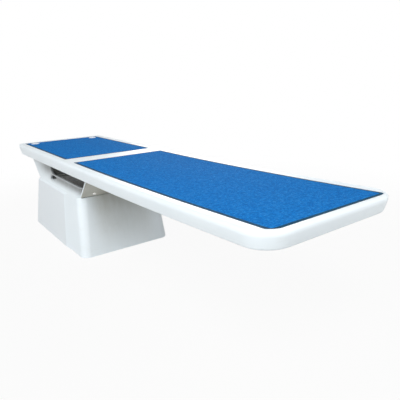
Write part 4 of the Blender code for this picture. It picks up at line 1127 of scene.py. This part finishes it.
def make_arm():
    """The rear arm: a leaning back wall under a flat top flange, and side walls with a window in each."""
    start = BOX_HEIGHT - BOX_EDGE_RADIUS - 2 * GAP
    heights = [start, BOX_HEIGHT]
    heights += [mix(BOX_HEIGHT, ARM_TOP, k / ARM_LEVELS) for k in range(1, ARM_LEVELS + 1)]
    loops = [arm_loop(z, 0.0, 0.0) for z in heights]
    flange_low = ARM_TOP - ARM_FLANGE_THICKNESS
    loops.append(arm_loop(ARM_TOP, ARM_FLANGE_REAR, ARM_FLANGE_SIDE))
    inner = len(loops) - 1
    loops.append([(x, y, flange_low) for x, y, z in loops[-1]])
    for z in [flange_low] + [z for z in reversed(heights) if z < flange_low - GAP]:
        loops.append(arm_loop(z, ARM_WALL_REAR, ARM_WALL_SIDE))
    arm = ring("arm", loops, inner)
    wide = BOX_TOP_HALF + CUT_OVERRUN
    far = PLATE_BEND_X + ARM_FLARE + ARM_HEIGHT
    high = ARM_TOP + CUT_OVERRUN
    cheek_top = (cheek_front(high), high)
    cheek_foot = (cheek_front(SILL_Z), SILL_Z)
    sill_end = (far, SILL_Z)
    corner = rounded_corner(cheek_top, cheek_foot, sill_end, WINDOW_CORNER_RADIUS, ARC_STEPS)
    window = [cheek_top, *((p.x, p.y) for p in corner), sill_end, (far, high)]
    low = start - CUT_OVERRUN
    over = SILL_Z + CUT_OVERRUN
    front = [(behind_plate(low), low), (far, low), (far, over), (behind_plate(over), over)]
    hole_x = cheek_front(SILL_Z) + HALF_MOON_FROM_CHEEK
    cutters = [prism_y("cut_window", window, wide), prism_y("cut_arm_front", front, wide)]
    cutters += [cove_cutter("cut_cove_" + side, sign, hole_x, far) for side, sign in SIDES]
    cutters.append(prism_y("cut_half_moon", half_moon(hole_x, SILL_Z - HALF_MOON_BELOW_SILL), wide))
    return carve(arm, cutters)


def band_step(z):
    """Where the band's full height ends at a level, and the length of the bevel in front of that."""
    step = at_height(FOOT_FRONT, BOX_TOP_FRONT, z) - at_height(BAND_FROM_FRONT_FOOT, BAND_FROM_FRONT_TOP, z)
    return step, at_height(BAND_BEVEL_FOOT, BAND_BEVEL_TOP, z)


def band_loop(z, out, out_in_front):
    """An outline at a height, out off the box round its rear part and out_in_front off it in front."""
    half = at_height(FOOT_HALF, BOX_TOP_HALF, z)
    corner = at_height(BOX_RADIUS_FOOT, BOX_RADIUS_TOP, z)
    rear = at_height(FOOT_REAR, BOX_TOP_REAR, z)
    front = at_height(FOOT_FRONT, BOX_TOP_FRONT, z)
    step, bevel = band_step(z)
    arc = quarter_turn(ARC_STEPS)
    reach = corner + out
    right = [(rear + corner - reach * c, -half + corner - reach * s) for c, s in arc]
    right += [(step, -half - out), (step + bevel, -half - out_in_front)]
    reach = corner + out_in_front
    right += [(front - corner + reach * s, -half + corner - reach * c) for c, s in arc]
    return [(x, y, z) for x, y in right] + [(x, -y, z) for x, y in reversed(right)]


def make_band():
    """The proud band round the box's rear part: its front edge is a wide bevel that sinks into the wall."""
    top = BOX_HEIGHT - BAND_TOP_MARGIN
    loops = [
        band_loop(0.0, BAND_PROUD, -BAND_SUNK),
        band_loop(BAND_FLAT_TOP, BAND_PROUD, -BAND_SUNK),
        band_loop(top, -BAND_SUNK, -BAND_SUNK),
        band_loop(top, -BAND_ROOT, -BAND_ROOT),
        band_loop(0.0, -BAND_ROOT, -BAND_ROOT),
    ]
    return ring("band", loops, 3)


def sharpen_band(mesh):
    """Keeps the band's two upright creases crisp, at its bevel's start and where it sinks into the wall."""
    for edge in mesh.edges:
        ends = [mesh.vertices[i].co for i in edge.vertices]
        for sunk_share in (0.0, BAND_PROUD / (BAND_PROUD + BAND_SUNK)):
            on_crease = []
            for point in ends:
                step, bevel = band_step(point.z)
                crease = step + bevel * sunk_share
                outside = at_height(FOOT_HALF, BOX_TOP_HALF, point.z) + BAND_PROUD * (sunk_share == 0.0)
                beside = abs(abs(point.y) - outside) < CREASE_NEAR
                on_crease.append(abs(point.x - crease) < CREASE_NEAR and beside)
            if all(on_crease):
                edge.use_edge_sharp = True


def make_pedestal():
    edge = BOX_EDGE_RADIUS
    return_low = BOX_HEIGHT - RETURN_THICKNESS
    section = [(0.0, 0.0)]
    section += [(BOX_HEIGHT - edge * (1 - s), edge * (1 - c)) for c, s in quarter_turn(6)]
    inner = len(section)
    section += [
        (BOX_HEIGHT, RETURN_WIDTH),
        (return_low, RETURN_WIDTH),
        (return_low, BOX_WALL),
        (FOOT_FLANGE_THICKNESS, BOX_WALL),
        (FOOT_FLANGE_THICKNESS, FOOT_FLANGE_WIDTH),
        (0.0, FOOT_FLANGE_WIDTH),
    ]
    shell = ring("fine_pedestal_shell", [box_loop(z, inset) for z, inset in section], inner)
    carve(shell, [make_arm(), make_band()], "UNION")
    small = SMALL_BOLT_RADIUS + GAP
    large = REAR_BOLT_RADIUS + GAP
    arm_low = ARM_TOP - ARM_FLANGE_THICKNESS
    holes = [(REAR_BEAM_X, sign * BRACKET_BOLT_Y, small, return_low, BOX_HEIGHT) for side, sign in SIDES]
    holes += [(FRONT_BEAM_X, y, small, return_low, BOX_HEIGHT) for side, y in PLATE_PLACES]
    for side, sign in SIDES:
        holes.append((REAR_BOLT_X, sign * REAR_BOLT_Y, large, arm_low, ARM_TOP))
        for place, x in ANCHOR_PLACES:
            holes.append((x, sign * ANCHOR_Y, ANCHOR_RADIUS + GAP, 0.0, FOOT_FLANGE_THICKNESS))
    carve(shell, [hole_cutter("cut_hole", *hole) for hole in holes])
    dress(shell, "pedestal_shell", 0.0011, 3, finishes=[pedestal_finish_with_painted_shade, inside_laminate_painted_light])
    sharpen_band(shell.data)


# Plates, rails and pads: the CAD's own shapes with eased edges


def eased_copy(node, ease, finishes=()):
    """A copy of a CAD node with eased edges. A second finish goes on its faces that look sideways."""
    mesh = nodes[node].data.copy()
    custom = mesh.attributes.get("custom_normal")
    if custom:
        mesh.attributes.remove(custom)
    if finishes:
        for polygon in mesh.polygons:
            polygon.material_index = int(abs(polygon.normal.y) > 0.9)
    item = bpy.data.objects.new("fine_" + node, mesh)
    bpy.context.scene.collection.objects.link(item)
    dress(item, node, ease, 3, 0.5, finishes)


def make_sheet_pieces():
    # The plate's face is gelcoat painted grey as shade; its sideways edges keep the plain white gelcoat
    eased_copy("front_plate", 0.0012, [plate_painted_shade_finish, finish["white_gelcoat"]])
    for side, y in PLATE_PLACES:
        eased_copy("gusset_" + side, 0.0006)
    for side, sign in SIDES:
        eased_copy("rear_bracket_" + side, 0.0008)
        eased_copy("base_rail_" + side, 0.0010)
    for place in ("front", "rear"):
        eased_copy(place + "_pad", 0.0008)


def make_plate_shadow_bead(side, sign):
    """A dark bead between the plate's lower bend and the box's top edge, at one end: a painted shadow of the
    gap.
    """
    end = BOX_TOP_HALF - PLATE_SHADOW_BEAD_SHORT
    x = BOX_TOP_FRONT - PLATE_SHADOW_BEAD_FROM_FRONT
    z = BOX_HEIGHT + PLATE_SHADOW_BEAD_RADIUS * 0.4
    steps = 16
    turns = [2 * math.pi * j / steps for j in range(steps)]
    # Half as wide again as it is high, uneven along its length and thinner at its ends
    loops = []
    for k in range(steps + 1):
        y = sign * mix(end - PLATE_SHADOW_BEAD_LENGTH, end, k / steps)
        swell = PLATE_SHADOW_BEAD_RADIUS * (1 + 0.12 * math.sin(k * 2.1) - 0.5 * (k in (0, steps)))
        loops.append([(x + swell * 1.5 * math.cos(turn), y, z + swell * math.sin(turn)) for turn in turns])
    faces = flipped(sides_of(loops, steps, closed=False))
    faces += [tuple(range(steps)), tuple(reversed(range(steps * steps, steps * steps + steps)))]
    shadow_bead = add_object("plate_shadow_bead_" + side, joined(loops), flipped(faces) if sign < 0 else faces)
    dress(shadow_bead, None, flat_angle=0, finishes=[finish["black_rubber"]])


# Steel frame


def tube(name, centre, length, across=False):
    """A square tube with rounded corners, open at both ends, along Z or across the board along Y."""
    half = TUBE_SIZE / 2
    loops = []
    for inset, radius, ends in ((0.0, TUBE_CORNER, (-1, 1)), (TUBE_WALL, TUBE_CORNER - TUBE_WALL, (1, -1))):
        plan = plan_loop(-half + inset, half - inset, half - inset, radius, radius)
        for end in ends:
            loops.append([(x, y, end * length / 2) for x, y in plan])
    item = ring(name, loops)
    if across:
        item.data.transform(Matrix(((1, 0, 0, 0), (0, 0, 1, 0), (0, -1, 0, 0), (0, 0, 0, 1))))
    item.data.transform(Matrix.Translation(centre))
    return item


def weld(name, x, y, z):
    """A rippled bead laid round a leg where it meets a rail or a beam."""
    half = TUBE_SIZE / 2
    plan = plan_loop(x - half, x + half, half, TUBE_CORNER, TUBE_CORNER, 24)
    path = []
    for (x0, y0), (x1, y1) in zip(plan, plan[1:] + plan[:1]):
        gap = math.dist((x0, y0), (x1, y1))
        parts = max(int(gap / (WELD_PITCH / WELD_POINTS_PER_PITCH)), 1)
        path += [(mix(x0, x1, k / parts), y + mix(y0, y1, k / parts)) for k in range(parts)]
    turns = [2 * math.pi * j / WELD_STEPS for j in range(WELD_STEPS)]
    loops = []
    walked = 0.0
    for k, (px, py) in enumerate(path):
        ahead = path[(k + 1) % len(path)]
        before = path[k - 1]
        along = Vector((ahead[0] - before[0], ahead[1] - before[1])).normalized()
        walked += math.dist((px, py), ahead)
        radius = WELD_RADIUS + WELD_RIPPLE * abs(math.sin(math.pi * walked / WELD_PITCH))
        loop = []
        for turn in turns:
            off = radius * math.cos(turn)
            loop.append((px + along.y * off, py - along.x * off, z + radius * math.sin(turn)))
        loops.append(loop)
    bead = add_object(name, joined(loops), flipped(sides_of(loops, WELD_STEPS, closed=True)))
    bead.data.shade_smooth()
    bead.data.materials.append(finish["galvanised_steel"])
    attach(bead, "root")


def make_frame():
    rail_high = FOOT_FLANGE_THICKNESS + GAP + RAIL_THICKNESS
    beam_high = BOX_HEIGHT - RETURN_THICKNESS - GAP
    beam_low = beam_high - TUBE_SIZE
    beam_middle = (beam_low + beam_high) / 2
    leg_low = rail_high + GAP
    leg_high = beam_low - GAP
    wall_low = beam_high - TUBE_WALL
    bolt_rows = ([-BRACKET_BOLT_Y, BRACKET_BOLT_Y], [y for side, y in PLATE_PLACES])
    for place, x, bolts in zip(("rear", "front"), (REAR_BEAM_X, FRONT_BEAM_X), bolt_rows):
        node = place + "_beam"
        beam = tube("fine_" + node, (x, 0.0, beam_middle), 2 * LEG_Y + TUBE_SIZE, across=True)
        carve(beam, [hole_cutter("cut", x, y, SMALL_BOLT_RADIUS + GAP, wall_low, wall_low) for y in bolts])
        dress(beam, node, TUBE_EASE)
        for side, sign in SIDES:
            node = f"{place}_leg_{side}"
            leg = tube("fine_" + node, (x, sign * LEG_Y, (leg_low + leg_high) / 2), leg_high - leg_low)
            dress(leg, node, TUBE_EASE)
            weld(f"weld_{place}_{side}_low", x, sign * LEG_Y, rail_high)
            weld(f"weld_{place}_{side}_high", x, sign * LEG_Y, beam_low)


# Fasteners


def shank(radius, length, pitch, threaded_to, plain_from):
    """Rows of a shank under its head, tip first, threaded up to one depth and plain from the next."""
    cut = pitch * THREAD_DEPTH_SHARE
    rows = [(radius - cut * 1.3, -length)]
    rows += thread(-length + cut * 0.5, -threaded_to, radius, pitch)
    return rows + [(radius, -plain_from), (radius, 0.0)]


def make_bolt(node, place, radius, length, head_radius, head_height, pitch, plain=0.0, tilt=0.0):
    """A hexagon bolt with its head's underside at the place and its shank along -Z before the tilt."""
    rows = shank(radius, length, pitch, plain + 0.001, plain + 0.0005)
    make_turned(node, rows + hex_rows(head_radius, 0.0, head_height, False), place, tilt)


def make_round_bolt(node, place, radius, length, head_radius, head_height, pitch, tilt=0.0):
    """A mushroom-headed bolt, its head's underside at the place and its shank along -Z before the tilt."""
    brim = 0.0006
    rows = shank(radius, length, pitch, length * 0.45, length * 0.44)
    rows += [(head_radius - 0.0003, 0.0), (head_radius, brim)]
    rows += [(head_radius * c, brim + (head_height - brim) * s) for c, s in quarter_turn(9)[1:-1]]
    make_turned(node, rows, place, tilt)


def make_nut(node, place, hole, radius, height, tilt=0.0, flange=None):
    """A hexagon nut that stands on its place, on a round flange where a (radius, height) is given."""
    low = 0.0
    rows = []
    if flange:
        wide, low = flange
        rows += [(wide - 0.0003, 0.0), (wide, 0.0003), (wide, low * 0.4), (wide - 0.0005, low * 0.55)]
    rows += hex_rows(radius, low, height, not flange)
    rows += [(hole + 0.0006, height), (hole, height - 0.0007), (hole, 0.0007), (hole + 0.0006, 0.0)]
    make_turned(node, rows, place, tilt, hole=True)


def web_point(along, off):
    """A point on the front plate's leaning web: along it from the lower bend, and off it to the rear."""
    x = PLATE_BEND_X + along * math.sin(PLATE_LEAN) - off * math.cos(PLATE_LEAN)
    z = PLATE_FLANGE_Z + along * math.cos(PLATE_LEAN) + off * math.sin(PLATE_LEAN)
    return x, z


def make_plate_fasteners():
    """The bolts and nuts through the front plate and its gussets, and the bolts through its foot."""
    web_off = PLATE_THICKNESS / 2 + GAP
    nut_off = web_off + GUSSET_THICKNESS + GAP
    tilt = math.pi / 2 + PLATE_LEAN
    length = PLATE_THICKNESS + GUSSET_THICKNESS + NUT_HEIGHT + SMALL_BOLT_OVERRUN
    foot_top = PLATE_FLANGE_Z + PLATE_THICKNESS / 2 + GUSSET_THICKNESS + 2 * GAP
    beam_through = BOX_HEIGHT - RETURN_THICKNESS - TUBE_WALL - BEAM_BOLT_OVERRUN
    dome = (WEB_HEAD_RADIUS, WEB_HEAD_HEIGHT, SMALL_PITCH)
    for side, y in PLATE_PLACES:
        x, z = web_point(PLATE_BOLT_UP_WEB, -web_off)
        make_round_bolt("web_bolt_" + side, (x, y, z), SMALL_BOLT_RADIUS, length, *dome, tilt)
        x, z = web_point(PLATE_BOLT_UP_WEB, nut_off)
        nut = (SMALL_BOLT_RADIUS + GAP, SMALL_HEAD_RADIUS, NUT_HEIGHT)
        make_nut("web_nut_" + side, (x, y, z), *nut, tilt - math.pi)
        place = (FRONT_BEAM_X, y, foot_top)
        make_bolt("foot_bolt_" + side, place, SMALL_BOLT_RADIUS, foot_top - beam_through, *SMALL_HEAD)


def make_board_screws():
    for side, y in PLATE_PLACES:
        node = "board_screw_" + side
        low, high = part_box(node)
        place = ((low.x + high.x) / 2, (low.y + high.y) / 2, low.z + SMALL_HEAD_HEIGHT)
        length = high.z - low.z - SMALL_HEAD_HEIGHT
        plain = PLATE_THICKNESS + PAD_THICKNESS
        make_bolt(node, place, SMALL_BOLT_RADIUS, length, *SMALL_HEAD, plain, math.pi)


def make_side_fasteners(side, sign):
    """The rear bolt and nut, the bracket bolt, and the anchors with their nuts, on one side."""
    node = "rear_bolt_" + side
    low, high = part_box(node)
    place = (REAR_BOLT_X, sign * REAR_BOLT_Y, high.z - REAR_HEAD_HEIGHT)
    head = (REAR_HEAD_RADIUS, REAR_HEAD_HEIGHT, REAR_PITCH)
    make_round_bolt(node, place, REAR_BOLT_RADIUS, place[2] - low.z, *head)
    node = "rear_nut_" + side
    low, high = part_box(node)
    place = (REAR_BOLT_X, sign * REAR_BOLT_Y, high.z)
    make_nut(node, place, REAR_BOLT_RADIUS + GAP, REAR_NUT_RADIUS, high.z - low.z, math.pi)
    node = "bracket_bolt_" + side
    low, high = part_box(node)
    place = (REAR_BEAM_X, sign * BRACKET_BOLT_Y, high.z - SMALL_HEAD_HEIGHT)
    make_bolt(node, place, SMALL_BOLT_RADIUS, place[2] - low.z, *SMALL_HEAD)
    for spot, x in ANCHOR_PLACES:
        node = f"anchor_stud_{spot}_{side}"
        low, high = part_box(node)
        cut = ANCHOR_PITCH * THREAD_DEPTH_SHARE
        rows = thread(low.z, high.z - cut, ANCHOR_RADIUS, ANCHOR_PITCH, False)
        rows.append((ANCHOR_RADIUS - 1.4 * cut, high.z))
        make_turned(node, rows, (x, sign * ANCHOR_Y, 0.0))
        node = f"anchor_nut_{spot}_{side}"
        low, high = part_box(node)
        flange = (ANCHOR_FLANGE_RADIUS, ANCHOR_FLANGE_HEIGHT)
        place = (x, sign * ANCHOR_Y, low.z)
        make_nut(node, place, ANCHOR_RADIUS + GAP, ANCHOR_NUT_RADIUS, high.z - low.z, 0.0, flange)


# Camera, floor and light


def make_camera():
    data = bpy.data.cameras.new("camera")
    data.sensor_width = SENSOR
    data.lens = CAMERA_LENS
    data.clip_start = 0.05
    data.clip_end = 50.0
    camera = bpy.data.objects.new("camera", data)
    bpy.context.scene.collection.objects.link(camera)
    right = Vector(CAMERA_RIGHT)
    up = -Vector(CAMERA_DOWN)
    back = -Vector(CAMERA_FORWARD)
    axes = Matrix((right, up, back)).transposed().to_4x4()
    camera.matrix_world = Matrix.Translation(CAMERA_PLACE) @ axes
    bpy.context.scene.camera = camera


def make_floor():
    half = FLOOR_HALF
    corners = [(-half, -half, 0), (half, -half, 0), (half, half, 0), (-half, half, 0)]
    floor = add_object("floor", corners, [(0, 1, 2, 3)])
    floor.location.z = -FLOOR_BELOW
    floor.data.materials.append(deck_floor())


def light_world():
    """An even sky at WORLD_LEVEL, seen as plain white."""
    world = bpy.data.worlds.new("world")
    bpy.context.scene.world = world
    world.use_nodes = True
    tree = world.node_tree
    back = tree.nodes["Background"]
    back.inputs["Color"].default_value = (1.0, 1.0, 1.0, 1.0)
    path = tree.nodes.new("ShaderNodeLightPath")
    seen = path.outputs["Is Camera Ray"]
    for name in ("Is Glossy Ray", "Is Transmission Ray"):
        either = tree.nodes.new("ShaderNodeMath")
        either.operation = "MAXIMUM"
        tree.links.new(seen, either.inputs[0])
        tree.links.new(path.outputs[name], either.inputs[1])
        seen = either.outputs[0]
    strength = tree.nodes.new("ShaderNodeMapRange")
    strength.inputs["To Min"].default_value = WORLD_LEVEL
    strength.inputs["To Max"].default_value = 1.0
    tree.links.new(seen, strength.inputs["Value"])
    tree.links.new(strength.outputs["Result"], back.inputs["Strength"])


def make_lamps():
    """Soft boxes round the object, all of them turned to LAMP_TARGET."""
    for name, turn, rising, wide, tall, power in LAMPS:
        turn = math.radians(turn)
        rising = math.radians(rising)
        data = bpy.data.lights.new(name, "AREA")
        data.shape = "RECTANGLE"
        data.size = wide
        data.size_y = tall
        data.energy = power
        lamp = bpy.data.objects.new(name, data)
        bpy.context.scene.collection.objects.link(lamp)
        level = math.cos(rising)
        away = Vector((level * math.cos(turn), -level * math.sin(turn), math.sin(rising)))
        lamp.location = Vector(LAMP_TARGET) + away * LAMP_DISTANCE
        lamp.rotation_euler = away.to_track_quat("Z", "Y").to_euler()


def dress_kept_nodes():
    """Gives every CAD node its finish. The pieces shut in the board stay as the CAD has them."""
    for name, item in nodes.items():
        item.data.materials.clear()
        item.data.materials.append(finish_of(name))


bpy.context.scene.view_settings.view_transform = "Standard"
make_camera()
dress_kept_nodes()
make_board_shell()
make_treads()
make_caps()
make_board_base()
make_pedestal()
make_sheet_pieces()
for side, sign in SIDES:
    make_plate_shadow_bead(side, sign)
make_frame()
make_plate_fasteners()
make_board_screws()
for side, sign in SIDES:
    make_side_fasteners(side, sign)
make_floor()
light_world()
make_lamps()
